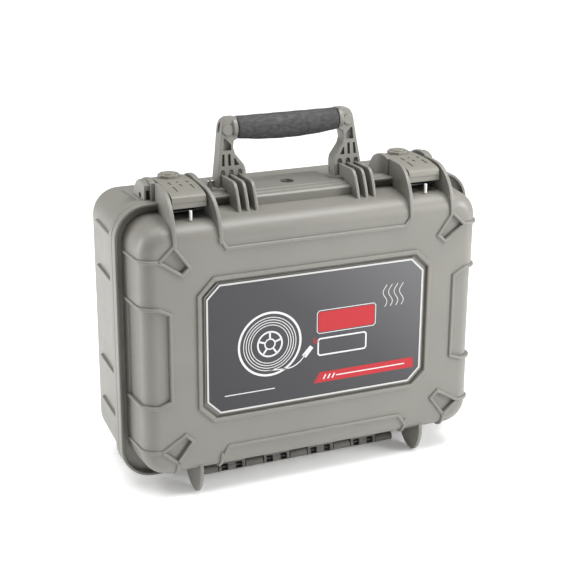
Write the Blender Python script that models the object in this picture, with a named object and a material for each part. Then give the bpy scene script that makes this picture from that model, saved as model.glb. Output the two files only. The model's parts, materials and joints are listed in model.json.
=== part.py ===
"""Wire feeder built into a carrying case of two moulded shells.

Lengths in this file are millimetres; the mesh builder turns them into metres.
The origin is the middle of the object's footprint, on the surface it stands on.
+X runs to the right seen from the lid, +Y from the lid to the base's back, +Z up.
"""
import math

import bmesh
import bpy
from mathutils import Matrix, Vector

METRES = 0.001
GAP = 0.3

# ---- case: driving dimensions ----
CASE_DEPTH = 179.5
RIB_PROUD = 2.5
RIB_WIDTH = 3.2
WRAP_PROUD = 2.2
RIB_SUNK = 1.5
FRONT_Y = -CASE_DEPTH / 2
FACE_Y = FRONT_Y + RIB_PROUD
BACK_Y = CASE_DEPTH / 2
PARTING_Y = FACE_Y + 62.0
MIDDLE_Z = 176.0
WALL = 3.5
DRAFT = math.tan(math.radians(3.4))

FLANGE_HALF_WIDTH = 216.5
FLANGE_BOTTOM = 12.0
FLANGE_TOP = 334.0
FLANGE_CORNER = 38.0
LID_FLANGE_THICK = 11.0
BASE_FLANGE_THICK = 12.0

LID_HALF_WIDTH = 206.5
LID_HALF_HEIGHT = 147.0
LID_CORNER = 32.0
LID_ROUNDING = 17.0
BASE_HALF_WIDTH = 213.0
BASE_BOTTOM = 15.5
BASE_TOP = 330.5
BASE_CORNER = 36.0
BASE_ROUNDING = 16.0
CORNER_STEPS = 7
ROUNDING_STEPS = 5

# ---- label and the raised patterns on the lid's face, about the label's centre ----
LABEL_HALF_WIDTH = 133.0
LABEL_HALF_HEIGHT = 76.0
LABEL_CHAMFER = 15.3
LABEL_THICK = 1.0
FRAME_HALF_WIDTH = 142.8
FRAME_HALF_HEIGHT = 85.3
FRAME_CHAMFER = 19.0
FRAME_WIDTH = 5.5
UPPER_KITE = [(168.2, 124.0), (184.3, 108.7), (159.2, 91.1), (150.3, 99.4)]
LOWER_KITE = [(185.7, -111.6), (158.1, -94.7), (149.4, -103.1), (167.4, -126.9)]
SIDE_LINE = [(187.0, 56.0), (173.0, 48.7), (173.0, -52.5), (187.0, -58.0)]
TOP_LINE = [(115.5, 127.0), (107.9, 115.2), (-107.9, 115.2), (-115.5, 127.0)]
BOTTOM_LINE = [(115.5, -131.0), (107.0, -118.0), (-107.0, -118.0), (-115.5, -131.0)]

# ---- hinge, feet, combs and latches ----
HINGE_Y = -36.0
HINGE_Z = 6.5
HINGE = (HINGE_Y, HINGE_Z)
KNUCKLE_RADIUS = 5.2
HINGE_PIN_RADIUS = 2.2
BASE_KNUCKLES = [-114.0, -57.0, 0.0, 57.0, 114.0]
BASE_KNUCKLE_WIDTH = 22.0
LID_KNUCKLES = [-85.5, -28.5, 28.5, 85.5]
LID_KNUCKLE_WIDTH = 33.0
FOOT_X = 139.0
FOOT_THICK = 5.0
COMB_FINS = [61.6, 72.0, 82.0]
FLANGE_FOOT = [(PARTING_Y - GAP, 326.0), (-35.0, 326.0), (-37.0, 320.6)]
COMB_THICK = 4.0
BLOCK_HALF_WIDTH = 49.5
BLOCK_TOP = 333.0
LATCH_X = 141.6
LATCH_WIDTH = 39.0
LATCH_PIVOT_Y = -6.6
LATCH_PIVOT_Z = 336.5
LATCH_PIVOT = (LATCH_PIVOT_Y, LATCH_PIVOT_Z)
LATCH_BARREL = 4.2
LATCH_PIN_RADIUS = 2.0
INNER_FIN_X = 119.0
OUTER_FIN_X = 164.3
LID_FIN_THICK = 4.4
INNER_CHEEK_X = 118.0
OUTER_CHEEK_X = 167.5
CHEEK_THICK = 6.0
HOOD_X = 177.0
HOOD_WALL = 3.0
KEEPER_Y = -50.7
KEEPER_Z = 327.0
KEEPER_RADIUS = 2.2
BUTTON_Y = 2.0
BUTTON_RADIUS = 8.0
BUTTON_TRAVEL = 1.5

# ---- handle ----
HANDLE_Y = -3.0
HANDLE_PIVOT_Y = -1.0
HANDLE_PIVOT_Z = 341.5
HANDLE_PIVOT = (HANDLE_PIVOT_Y, HANDLE_PIVOT_Z)
HANDLE_LEAN = 6.9
HANDLE_HALF_DEPTH = 8.5
HANDLE_TOP = 412.2
GRIP_Z = 399.6
GRIP_RADIUS = 12.8
GRIP_BELLY = 4.5
GRIP_STATIONS = 12
GRIP_HALF_LENGTH = 61.0
HANDLE_CORE_RADIUS = 7.0
HANDLE_PIN_RADIUS = 2.2
LUG_X = 94.8
LUG_THICK = 4.8

# ---- wire drive ----
DECK_FRONT = 41.0
DECK_THICK = 3.0
DECK_HALF_WIDTH = 192.0
DECK_BOTTOM = 38.0
DECK_TOP = 308.0
WIRE_Y = 8.0
WIRE_Z = 88.0
WIRE_RADIUS = 0.45
SPOOL_X = -92.0
SPOOL_Z = 172.0
SPOOL_RADIUS = 100.0
SPOOL_HALF_WIDTH = 27.0
SPOOL_BORE = 26.0
WINDING_RADIUS = 83.4
ROLL_X = 70.0
ROLL_HALF_WIDTH = 5.0
DRIVE_ROLL_RADIUS = 15.0
DRIVE_ROLL_Z = WIRE_Z - DRIVE_ROLL_RADIUS
PRESSURE_ROLL_RADIUS = 12.3
PRESSURE_ROLL_Z = WIRE_Z + PRESSURE_ROLL_RADIUS + 0.8
SHAFT_RADIUS = 4.0
AXLE_RADIUS = 3.0
ARM_PIVOT_X = 45.0
ARM_PIVOT_Z = 114.0
TENSION_X = 101.0
GUN_SOCKET_RADIUS = 16.0
POWER_SOCKET_RADIUS = 13.0
POWER_SOCKET_Y = 30.0
POWER_SOCKETS = [("positive", 250.0), ("negative", 205.0)]
CONTROLS_Z = 250.0
KNOB_X = 76.0
ROCKER_X = 130.0
JOG_X = 158.0

# ---- colours: red, green, blue, roughness, metallic ----
MATERIALS = {
    "case_plastic": (0.31, 0.305, 0.275, 0.55, 0.0),
    "latch_plastic": (0.28, 0.275, 0.245, 0.5, 0.0),
    "grip_rubber": (0.055, 0.055, 0.055, 0.85, 0.0),
    "seal_rubber": (0.03, 0.03, 0.03, 0.8, 0.0),
    "label_print": (0.09, 0.09, 0.095, 0.35, 0.0),
    "steel": (0.6, 0.6, 0.6, 0.3, 1.0),
    "aluminium": (0.7, 0.71, 0.72, 0.4, 1.0),
    "brass": (0.72, 0.52, 0.2, 0.3, 1.0),
    "black_plastic": (0.03, 0.03, 0.032, 0.5, 0.0),
    "red_plastic": (0.5, 0.03, 0.03, 0.4, 0.0),
    "board": (0.03, 0.16, 0.07, 0.5, 0.0),
    "light_plastic": (0.62, 0.62, 0.58, 0.5, 0.0),
}


# ======== mesh helpers ========

def clear_scene():
    for item in list(bpy.data.objects):
        bpy.data.objects.remove(item, do_unlink=True)


def material(name):
    found = bpy.data.materials.get(name)
    if found:
        return found
    red, green, blue, roughness, metallic = MATERIALS[name]
    made = bpy.data.materials.new(name)
    made.use_nodes = True
    shader = made.node_tree.nodes["Principled BSDF"]
    shader.inputs["Base Color"].default_value = (red, green, blue, 1.0)
    shader.inputs["Roughness"].default_value = roughness
    shader.inputs["Metallic"].default_value = metallic
    return made


def solid(name, points, faces, finish=None):
    """A closed mesh object from points in millimetres."""
    mesh = bpy.data.meshes.new(name)
    mesh.from_pydata([[c * METRES for c in point] for point in points], [], faces)
    work = bmesh.new()
    work.from_mesh(mesh)
    bmesh.ops.remove_doubles(work, verts=work.verts, dist=0.002 * METRES)
    bmesh.ops.recalc_face_normals(work, faces=work.faces)
    work.to_mesh(mesh)
    work.free()
    made = bpy.data.objects.new(name, mesh)
    bpy.context.scene.collection.objects.link(made)
    if finish:
        mesh.materials.append(material(finish))
    return made


def loft(name, rings, finish=None):
    """Joins rings of equal length with sides and closes both ends."""
    count = len(rings[0])
    points = [point for ring in rings for point in ring]
    faces = [list(range(count))]
    faces.append([len(points) - count + i for i in range(count)])
    for level in range(len(rings) - 1):
        for i in range(count):
            following = (i + 1) % count
            low = level * count
            high = low + count
            faces.append([low + i, low + following, high + following, high + i])
    return solid(name, points, faces, finish)


def place(axis, along, pair):
    """A 3-D point from a place along an axis and a pair in the plane across it."""
    first, second = pair
    if axis == "X":
        return (along, first, second)
    if axis == "Y":
        return (first, along, second)
    return (first, second, along)


def prism(name, axis, low, high, outline, finish=None):
    rings = [[place(axis, along, pair) for pair in outline] for along in (low, high)]
    return loft(name, rings, finish)


def box(name, low, high, finish=None):
    outline = [(low[0], low[1]), (high[0], low[1]), (high[0], high[1]), (low[0], high[1])]
    return prism(name, "Z", low[2], high[2], outline, finish)


def circle(radius, centre=(0.0, 0.0), steps=24):
    turns = [2 * math.pi * i / steps for i in range(steps)]
    return [(centre[0] + radius * math.cos(t), centre[1] + radius * math.sin(t)) for t in turns]


def rod(name, axis, low, high, radius, centre, finish=None, steps=24):
    return prism(name, axis, low, high, circle(radius, centre, steps), finish)


def turned(name, axis, centre, profile, finish=None, steps=32):
    """Turns a closed profile of (radius, along) pairs that stays off the axis."""
    rings = []
    for i in range(steps):
        turn = 2 * math.pi * i / steps
        ring = []
        for radius, along in profile:
            pair = (centre[0] + radius * math.cos(turn), centre[1] + radius * math.sin(turn))
            ring.append(place(axis, along, pair))
        rings.append(ring)
    count = len(profile)
    points = [point for ring in rings for point in ring]
    faces = []
    for i in range(steps):
        here = i * count
        there = ((i + 1) % steps) * count
        for k in range(count):
            following = (k + 1) % count
            faces.append([here + k, here + following, there + following, there + k])
    return solid(name, points, faces, finish)


def tube(name, axis, low, high, outer, inner, centre, finish=None, steps=24):
    profile = [(inner, low), (outer, low), (outer, high), (inner, high)]
    return turned(name, axis, centre, profile, finish, steps)


def combine(target, others, operation):
    """Joins or cuts other solids into the target, and removes them."""
    for other in others:
        change = target.modifiers.new(operation, "BOOLEAN")
        change.operation = operation
        change.solver = "EXACT"
        change.object = other
        bpy.context.view_layer.update()
        graph = bpy.context.evaluated_depsgraph_get()
        result = bpy.data.meshes.new_from_object(target.evaluated_get(graph))
        target.modifiers.clear()
        target.data = result
        bpy.data.objects.remove(other, do_unlink=True)
    return target


def join(target, others):
    return combine(target, others, "UNION")


def cut(target, others):
    return combine(target, others, "DIFFERENCE")


def offset_line(line, distance, closed):
    """Moves a line of (x, z) points sideways by a distance, with mitred corners."""
    count = len(line)
    moved = []
    for i in range(count):
        before = line[i - 1] if (closed or i > 0) else None
        after = line[(i + 1) % count] if (closed or i < count - 1) else None
        normals = []
        for start, end in ((before, line[i]), (line[i], after)):
            if start is None or end is None:
                continue
            length = math.dist(start, end)
            normals.append(((end[1] - start[1]) / length, (start[0] - end[0]) / length))
        mean = (sum(n[0] for n in normals), sum(n[1] for n in normals))
        size = math.hypot(*mean)
        unit = (mean[0] / size, mean[1] / size)
        reach = distance / (unit[0] * normals[0][0] + unit[1] * normals[0][1])
        moved.append((line[i][0] + unit[0] * reach, line[i][1] + unit[1] * reach))
    return moved


def mirrored(line, side):
    return [(side * x, z) for x, z in line]


def about_label(line):
    return [(x, z + MIDDLE_Z) for x, z in line]


def octagon(half_width, half_height, chamfer):
    quarter = [(half_width, half_height - chamfer), (half_width - chamfer, half_height)]
    right_top = quarter
    left_top = [(-x, z) for x, z in reversed(quarter)]
    left_bottom = [(-x, -z) for x, z in quarter]
    right_bottom = [(x, -z) for x, z in reversed(quarter)]
    return right_top + left_top + left_bottom + right_bottom


# ======== case shells ========

def rounded_ring(along, half_width, bottom, top, corner):
    """A rounded rectangle across Y, starting at the right-hand top corner."""
    centres = [(1, 1, 0), (-1, 1, 90), (-1, -1, 180), (1, -1, 270)]
    ring = []
    for side, up, start in centres:
        centre_x = side * (half_width - corner)
        centre_z = (top - corner) if up > 0 else (bottom + corner)
        for step in range(CORNER_STEPS + 1):
            turn = math.radians(start + 90.0 * step / CORNER_STEPS)
            x = centre_x + corner * math.cos(turn)
            z = centre_z + corner * math.sin(turn)
            ring.append((x, along, z))
    return ring


def lid_ring(along, inset):
    """The lid's wall at a depth, inset by its draft and a further distance."""
    draft = (PARTING_Y - along) * DRAFT
    half_width = LID_HALF_WIDTH - draft - inset
    half_height = LID_HALF_HEIGHT - draft - inset
    corner = max(LID_CORNER - draft - inset, 4.0)
    return rounded_ring(along, half_width, MIDDLE_Z - half_height, MIDDLE_Z + half_height, corner)


def base_ring(along, inset):
    draft = (along - PARTING_Y - BASE_FLANGE_THICK) * DRAFT
    reach = draft + inset
    corner = max(BASE_CORNER - reach, 4.0)
    return rounded_ring(along, BASE_HALF_WIDTH - reach, BASE_BOTTOM + reach, BASE_TOP - reach, corner)


def flange_ring(along, inset=0.0):
    return rounded_ring(along, FLANGE_HALF_WIDTH - inset, FLANGE_BOTTOM + inset,
                        FLANGE_TOP - inset, FLANGE_CORNER - inset)


def rounding(radius):
    """Inset and depth of each step of a quarter-round edge, from the flat inwards."""
    steps = []
    for step in range(ROUNDING_STEPS + 1):
        turn = math.radians(90.0 * step / ROUNDING_STEPS)
        steps.append((radius * (1 - math.sin(turn)), radius * (1 - math.cos(turn))))
    return steps


def make_lid_shell():
    rim = PARTING_Y - GAP / 2
    flange_front = PARTING_Y - LID_FLANGE_THICK
    seal_depth = 3.0
    rings = [lid_ring(FACE_Y + depth, inset) for inset, depth in rounding(LID_ROUNDING)]
    rings.append(lid_ring(flange_front, 0.0))
    rings.append(flange_ring(flange_front))
    rings.append(flange_ring(rim))
    rings.append(lid_ring(rim, 0.3))
    rings.append(lid_ring(rim - seal_depth, 0.3))
    rings.append(lid_ring(rim - seal_depth, WALL + 0.3))
    rings.append(lid_ring(FACE_Y + WALL + 10.0, WALL))
    rings.append(lid_ring(FACE_Y + WALL, WALL + 10.0))
    return loft("lid_shell", rings, "case_plastic")


def make_base_shell():
    rim = PARTING_Y + GAP / 2
    flange_back = PARTING_Y + BASE_FLANGE_THICK
    rings = [base_ring(BACK_Y - depth, inset) for inset, depth in rounding(BASE_ROUNDING)]
    rings.append(base_ring(flange_back, 0.0))
    rings.append(flange_ring(flange_back))
    rings.append(flange_ring(rim))
    rings.append(base_ring(rim, WALL + 1.0))
    rings.append(base_ring(BACK_Y - WALL - 10.0, WALL))
    rings.append(base_ring(BACK_Y - WALL, WALL + 10.0))
    return loft("base_shell", rings, "case_plastic")


def lid_section(half_size, raise_by):
    """The lid's outer surface as (across, y), from its face round to the flange."""
    draft = (PARTING_Y - FACE_Y - LID_ROUNDING) * DRAFT
    side = half_size - draft
    points = []
    for step in range(ROUNDING_STEPS + 1):
        turn = math.radians(90.0 * step / ROUNDING_STEPS)
        radius = LID_ROUNDING + raise_by
        across = side - LID_ROUNDING + radius * math.sin(turn)
        points.append((across, FACE_Y + LID_ROUNDING - radius * math.cos(turn)))
    points.append((half_size - LID_FLANGE_THICK * DRAFT + raise_by, PARTING_Y - LID_FLANGE_THICK + 0.6))
    return points


def wrap_outline(half_size, start):
    """A band that follows the lid from a place on its face round to the flange."""
    outer = [(start, FACE_Y - WRAP_PROUD)] + lid_section(half_size, WRAP_PROUD)
    inner = [(start, FACE_Y + RIB_SUNK)] + lid_section(half_size, -RIB_SUNK)
    return outer + inner[::-1]


def face_strip(line, closed):
    """A raised rib along a line on the lid's face."""
    line = about_label(line)
    left = offset_line(line, RIB_WIDTH / 2, closed)
    right = offset_line(line, -RIB_WIDTH / 2, closed)
    low = FACE_Y - RIB_PROUD
    high = FACE_Y + RIB_SUNK
    if not closed:
        return [prism("rib", "Y", low, high, left + right[::-1])]
    return [face_ring(left, right, low, high)]


def face_ring(first, second, low, high):
    """A closed band between two outlines across Y."""
    count = len(first)
    points = [(x, y, z) for y in (low, high) for line in (first, second) for x, z in line]
    faces = []
    corners = [(0, count), (count, 3 * count), (3 * count, 2 * count), (2 * count, 0)]
    for i in range(count):
        following = (i + 1) % count
        for start, end in corners:
            faces.append([start + i, start + following, end + following, end + i])
    return solid("band", points, faces)


def lid_face_ribs():
    ribs = []
    for side in (-1, 1):
        ribs += face_strip(mirrored(UPPER_KITE, side), True)
        ribs += face_strip(mirrored(LOWER_KITE, side), True)
        ribs += face_strip(mirrored(SIDE_LINE, side), False)
    ribs += face_strip(TOP_LINE, False)
    ribs += face_strip(BOTTOM_LINE, False)
    outer = about_label(octagon(FRAME_HALF_WIDTH, FRAME_HALF_HEIGHT, FRAME_CHAMFER))
    inner = about_label(octagon(FRAME_HALF_WIDTH - FRAME_WIDTH, FRAME_HALF_HEIGHT - FRAME_WIDTH,
                                FRAME_CHAMFER - FRAME_WIDTH * 0.6))
    ribs.append(face_ring(outer, inner, FACE_Y - RIB_PROUD, FACE_Y + RIB_SUNK))
    return ribs


def lid_wrap_ribs():
    """Ribs that run from the patterns round the lid's edges to its flange."""
    ribs = []
    heights = [UPPER_KITE[1], SIDE_LINE[0], SIDE_LINE[-1], LOWER_KITE[0]]
    for side in (-1, 1):
        for start, height in heights:
            outline = [(side * x, y) for x, y in wrap_outline(LID_HALF_WIDTH, start - RIB_WIDTH / 2)]
            middle = height + MIDDLE_Z
            low = middle - RIB_WIDTH / 2
            ribs.append(prism("rib", "Z", low, low + RIB_WIDTH, outline))
        for across in (LOWER_KITE[3][0], BOTTOM_LINE[0][0]):
            outline = wrap_outline(LID_HALF_HEIGHT, -LOWER_KITE[3][1] - 2.0)
            outline = [(y, MIDDLE_Z - z) for z, y in outline]
            low = side * across - RIB_WIDTH / 2
            ribs.append(prism("rib", "X", low, low + RIB_WIDTH, outline))
    return ribs


def lid_root_line(up, first_y, last_y):
    """Points just under the lid's top (up = 1) or bottom (-1) surface, from front to back."""
    line = [(y, MIDDLE_Z + up * z) for z, y in lid_section(LID_HALF_HEIGHT, -2.0)]
    kept = [point for point in line if first_y < point[0] < last_y]
    return kept


def lid_fin_outline():
    """A latch fin: rises from the face, arches over the flange, ends at the parting."""
    crest = [(FRONT_Y, 300.0), (FRONT_Y, 305.0), (-87.0, 317.0), (-81.0, 332.0), (-72.5, 343.0),
             (-61.5, 350.0), (-50.0, 352.6), (PARTING_Y - GAP, 353.4)]
    root = lid_root_line(1, FACE_Y, -38.0)
    return crest + FLANGE_FOOT + root[::-1] + [(FACE_Y + RIB_SUNK, 300.0)]


def splay_fin(fin, reach):
    """Leans a fin sideways towards its lower front end, by up to reach."""
    straight_y = -50.0
    for vertex in fin.data.vertices:
        ahead = (straight_y - vertex.co.y / METRES) / (straight_y - FRONT_Y)
        vertex.co.x += reach * max(0.0, ahead) * METRES
    return fin


def comb_outline():
    """A comb fin: stands on the lid's top edge and reaches back over the base's flange."""
    back = -3.8
    return [(-61.5, 319.0), (-58.0, 330.0), (-49.0, 348.6), (-43.0, 351.2), (back, 349.8), (back, 336.0),
            (PARTING_Y - 1.0, 336.0)] + FLANGE_FOOT


def lid_foot_outline():
    return [(-84.0, 42.0), (-86.0, 30.0), (-83.0, 17.0), (-77.0, 6.5), (-71.0, 0.0), (-61.0, 0.0),
            (-51.0, 3.0),
            (-41.0, 10.0), (-36.5, 17.0), (-36.5, 31.5), (-60.0, 33.0), (-74.0, 36.0)]


def add_lid_details(lid):
    join(lid, lid_face_ribs())
    join(lid, lid_wrap_ribs())
    extras = []
    for side in (-1, 1):
        for middle, splay in ((INNER_FIN_X, -4.6), (OUTER_FIN_X, 0.0)):
            low = side * middle - LID_FIN_THICK / 2
            fin = prism("fin", "X", low, low + LID_FIN_THICK, lid_fin_outline())
            extras.append(splay_fin(fin, side * splay))
        for middle in COMB_FINS:
            low = side * middle - COMB_THICK / 2
            extras.append(prism("comb", "X", low, low + COMB_THICK, comb_outline()))
        low = side * FOOT_X - FOOT_THICK / 2
        extras.append(prism("foot", "X", low, low + FOOT_THICK, lid_foot_outline()))
    block = [(-45.0, 320.2), (-45.0, BLOCK_TOP), (PARTING_Y - GAP, BLOCK_TOP)] + FLANGE_FOOT
    extras.append(prism("block", "X", -60.5, 60.5, block))
    for middle in LID_KNUCKLES:
        low = middle - LID_KNUCKLE_WIDTH / 2
        high = middle + LID_KNUCKLE_WIDTH / 2
        barrel = rod("knuckle", "X", low, high, KNUCKLE_RADIUS, HINGE, steps=16)
        web_top = FLANGE_BOTTOM + 2.0
        web = box("web", (low, HINGE_Y - 4.0, HINGE_Z), (high, HINGE_Y + 4.5, web_top))
        extras += [barrel, web]
    join(lid, extras)
    bore = rod("bore", "X", -130.0, 130.0, HINGE_PIN_RADIUS + GAP, HINGE, steps=16)
    holes = [bore]
    for side in (-1, 1):
        low, high = sorted((side * (INNER_FIN_X - 1.0), side * (OUTER_FIN_X + 1.0)))
        holes.append(rod("bore", "X", low, high, KEEPER_RADIUS + GAP, (KEEPER_Y, KEEPER_Z), steps=16))
    cut(lid, holes)


def base_cheek_outline():
    """A latch bracket's cheek on the base, with a step down to the flange."""
    front = PARTING_Y + GAP
    return [(front, 328.0), (front, 353.4), (-16.0, 355.0), (-6.0, 355.0), (3.0, 353.2), (12.0, 348.4),
            (19.0, 340.4), (26.0, 329.0), (26.0, 326.5)]


def hood_outline():
    """The arched guard outside a latch's outer cheek, over the end of its pin."""
    return [(-21.0, 344.0), (-21.0, 350.2), (-12.0, 353.4), (-2.0, 353.4), (7.0, 349.4), (15.0, 341.0),
            (22.0, 329.0), (24.0, 323.0), (17.0, 323.0), (12.0, 331.5), (6.0, 340.0), (0.0, 345.0), (-10.0, 347.0)]


def hood_leg_outline():
    """The guard's outer wall, down to the base's rounded top edge."""
    return [(-21.0, 332.5), (-21.0, 348.0), (-12.0, 351.0), (-2.0, 351.0), (7.0, 347.0), (15.0, 339.0),
            (22.0, 327.0), (22.0, 318.0), (0.0, 322.0), (-14.0, 327.0)]


def add_base_latch_brackets(base):
    parts = []
    holes = []
    for side in (-1, 1):
        for middle in (INNER_CHEEK_X, OUTER_CHEEK_X):
            low = side * middle - CHEEK_THICK / 2
            parts.append(prism("cheek", "X", low, low + CHEEK_THICK, base_cheek_outline()))
        low, high = sorted((side * (OUTER_CHEEK_X + 1.5), side * HOOD_X))
        parts.append(prism("hood", "X", low, high, hood_outline()))
        low, high = sorted((side * (HOOD_X - HOOD_WALL), side * HOOD_X))
        parts.append(prism("leg", "X", low, high, hood_leg_outline()))
        low, high = sorted((side * (INNER_CHEEK_X - 1.0), side * (OUTER_CHEEK_X + 1.5)))
        holes.append(rod("bore", "X", low, high, LATCH_PIN_RADIUS + GAP, LATCH_PIVOT, steps=16))
        low = side * LATCH_X - LATCH_WIDTH / 2 - 1.0
        holes.append(box("pocket", (low, PARTING_Y - 1.0, 331.2), (low + LATCH_WIDTH + 2.0, -12.9, 340.0)))
    return parts, holes


def add_base_details(base):
    parts, holes = add_base_latch_brackets(base)
    block_low = (-BLOCK_HALF_WIDTH, PARTING_Y + GAP / 2, 327.5)
    parts.append(box("block", block_low, (BLOCK_HALF_WIDTH, 32.0, BLOCK_TOP)))
    for side in (-1, 1):
        foot = [(-12.0, 17.8), (-12.0, 14.0), (0.0, 0.0), (48.0, 0.0), (60.0, 8.0), (66.0, 22.0)]
        low = side * FOOT_X - FOOT_THICK / 2
        parts.append(prism("foot", "X", low, low + FOOT_THICK, foot))
        lug = [(-8.0, 328.0), (-8.0, 342.0), (-5.0, 347.0), (3.0, 347.0), (7.0, 342.0), (9.0, 328.0)]
        low = side * LUG_X - LUG_THICK / 2
        parts.append(prism("lug", "X", low, low + LUG_THICK, lug))
        for height in (79.0, 132.0, 242.0, 295.0):
            rib = [(PARTING_Y + 2.0, 210.5), (PARTING_Y + 2.0, 215.5), (45.0, 212.0), (52.0, 207.5)]
            outline = [(side * x, y) for y, x in rib]
            parts.append(prism("rib", "Z", height - 2.0, height + 2.0, outline))
        rib = [(PARTING_Y + 2.0, 328.0), (PARTING_Y + 2.0, 333.0), (45.0, 329.5), (52.0, 324.8)]
        low = side * 176.5 - 2.0
        parts.append(prism("rib", "X", low, low + 4.0, rib))
    for middle in BASE_KNUCKLES:
        low = middle - BASE_KNUCKLE_WIDTH / 2
        high = middle + BASE_KNUCKLE_WIDTH / 2
        parts.append(rod("knuckle", "X", low, high, KNUCKLE_RADIUS, HINGE, steps=16))
        arm = [(HINGE_Y, HINGE_Z - 4.8), (-18.0, HINGE_Z - 4.8), (-14.0, 14.0), (-24.0, 14.0),
               (-24.0, HINGE_Z + 4.8), (HINGE_Y, HINGE_Z + 4.8)]
        parts.append(prism("arm", "X", low, high, arm))
    join(base, parts)
    holes.append(rod("bore", "X", -130.0, 130.0, HINGE_PIN_RADIUS + GAP, HINGE, steps=16))
    holes.append(rod("bore", "X", -98.0, 98.0, HANDLE_PIN_RADIUS + GAP, HANDLE_PIVOT, steps=16))
    holes.append(rod("bore", "Z", 329.0, 340.0, 8.0 + GAP, (0.0, 0.0)))
    holes.append(rod("bore", "X", 190.0, 230.0, GUN_SOCKET_RADIUS + GAP, (WIRE_Y, WIRE_Z)))
    for _, height in POWER_SOCKETS:
        holes.append(rod("bore", "X", 190.0, 230.0, POWER_SOCKET_RADIUS + GAP, (POWER_SOCKET_Y, height)))
    cut(base, holes)
    return base


def make_case():
    lid = make_lid_shell()
    add_lid_details(lid)
    base = make_base_shell()
    add_base_details(base)
    rod("hinge_pin", "X", -126.0, 126.0, HINGE_PIN_RADIUS, HINGE, "steel", 16)
    rod("pressure_valve", "Z", 329.0 + GAP, 331.5, 8.0, (0.0, 0.0), "black_plastic")
    label = about_label(octagon(LABEL_HALF_WIDTH, LABEL_HALF_HEIGHT, LABEL_CHAMFER))
    prism("label_plate", "Y", FACE_Y - GAP - LABEL_THICK, FACE_Y - GAP, label, "label_print")
    make_gasket()


def make_gasket():
    """The seal that lies in the step round the lid's rim."""
    front = PARTING_Y - 3.0
    back = PARTING_Y - 0.6
    outer = [(x, z) for x, _, z in lid_ring(front, 0.7)]
    inner = [(x, z) for x, _, z in lid_ring(front, 3.4)]
    band = face_ring(outer, inner, front, back)
    band.name = "lid_gasket"
    band.data.materials.append(material("seal_rubber"))


# ======== latches and handle ========

def latch_outline():
    """The latch lever from the side: a curved cover with a lip at its front."""
    return [(-66.5, 333.8), (-66.2, 341.0), (-64.5, 346.8), (-55.0, 349.6), (-38.0, 351.8), (-18.0, 352.4),
            (4.0, 351.6), (11.0, 350.0), (12.0, 347.0), (3.0, 347.6), (-18.0, 348.4), (-38.0, 347.8),
            (-54.0, 345.6), (-61.0, 343.0), (-62.8, 339.5), (-63.0, 333.8)]


def latch_cheek_outline():
    """The lever's side web, from the cover down to the pivot barrel."""
    return [(-50.0, 347.0), (-46.0, 339.0), (-22.0, 335.0), (LATCH_PIVOT_Y, 332.5), (-1.0, 336.0), (4.0, 348.5),
            (-18.0, 349.0)]


def make_latch(side, word):
    centre = side * LATCH_X
    low = centre - LATCH_WIDTH / 2
    high = centre + LATCH_WIDTH / 2
    lever = prism("latch_lever_" + word, "X", low, high, latch_outline(), "latch_plastic")
    web_thick = 4.0
    barrel = rod("barrel", "X", low, high, LATCH_BARREL, LATCH_PIVOT, steps=16)
    webs = [barrel]
    for start in (low, high - web_thick):
        webs.append(prism("web", "X", start, start + web_thick, latch_cheek_outline()))
    webs.append(rod("boss", "Z", 349.0, 355.0, 12.0, (centre, BUTTON_Y - 2.5), steps=8))
    join(lever, webs)
    bore = rod("bore", "X", low - 1.0, high + 1.0, LATCH_PIN_RADIUS + GAP, LATCH_PIVOT, steps=16)
    well = rod("well", "Z", 350.4, 360.0, BUTTON_RADIUS + GAP, (centre, BUTTON_Y - 2.5))
    cut(lever, [bore, well])
    rod("latch_button_" + word, "Z", 350.4 + GAP + BUTTON_TRAVEL, 355.6 + BUTTON_TRAVEL, BUTTON_RADIUS,
        (centre, BUTTON_Y - 2.5), "latch_plastic")
    pin_ends = sorted((side * (INNER_CHEEK_X - 0.6), side * (OUTER_CHEEK_X + 1.0)))
    rod("latch_pin_" + word, "X", pin_ends[0], pin_ends[1], LATCH_PIN_RADIUS, LATCH_PIVOT, "steel", 16)
    keeper_ends = sorted((side * (INNER_FIN_X - 0.6), side * (OUTER_FIN_X + 0.6)))
    keeper = (KEEPER_Y, KEEPER_Z)
    rod("keeper_pin_" + word, "X", keeper_ends[0], keeper_ends[1], KEEPER_RADIUS, keeper, "steel", 16)
    rod("latch_rest_" + word, "Z", 321.0, 332.0, 1.7, (centre, -69.5), "light_plastic", 12)


def handle_arm_outline(side):
    """One arm across Y: a foot with a gusset, a waist and a round top."""
    right = [(90.4, 335.0), (89.0, 345.0), (84.8, 372.0), (81.3, 398.0)]
    crown = [(80.0, 404.5), (77.0, 409.5), (72.0, HANDLE_TOP), (62.0, HANDLE_TOP)]
    left = [(62.0, 387.5), (66.5, 386.0), (67.6, 378.0), (65.5, 371.0), (55.5, 358.0), (54.0, 352.0),
            (54.0, 335.0)]
    return mirrored(right + crown + left, side)


def lean_handle(pieces):
    """Leans the upright handle back about its pivot, to where it rests."""
    pivot = Vector((0.0, *HANDLE_PIVOT)) * METRES
    turn = Matrix.Rotation(-math.radians(HANDLE_LEAN), 4, "X")
    for piece in pieces:
        piece.data.transform(Matrix.Translation(pivot) @ turn @ Matrix.Translation(-pivot))


def grip_ring(along):
    """The grip's outline at one station: round above, fuller below towards the middle."""
    belly = GRIP_BELLY * (1.0 - (along / GRIP_HALF_LENGTH) ** 2)
    ring = []
    for step in range(24):
        turn = 2.0 * math.pi * step / 24
        rise = GRIP_RADIUS * math.sin(turn) - belly * max(0.0, -math.sin(turn))
        ring.append((along, HANDLE_Y + GRIP_RADIUS * math.cos(turn), GRIP_Z + rise))
    return ring


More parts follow.
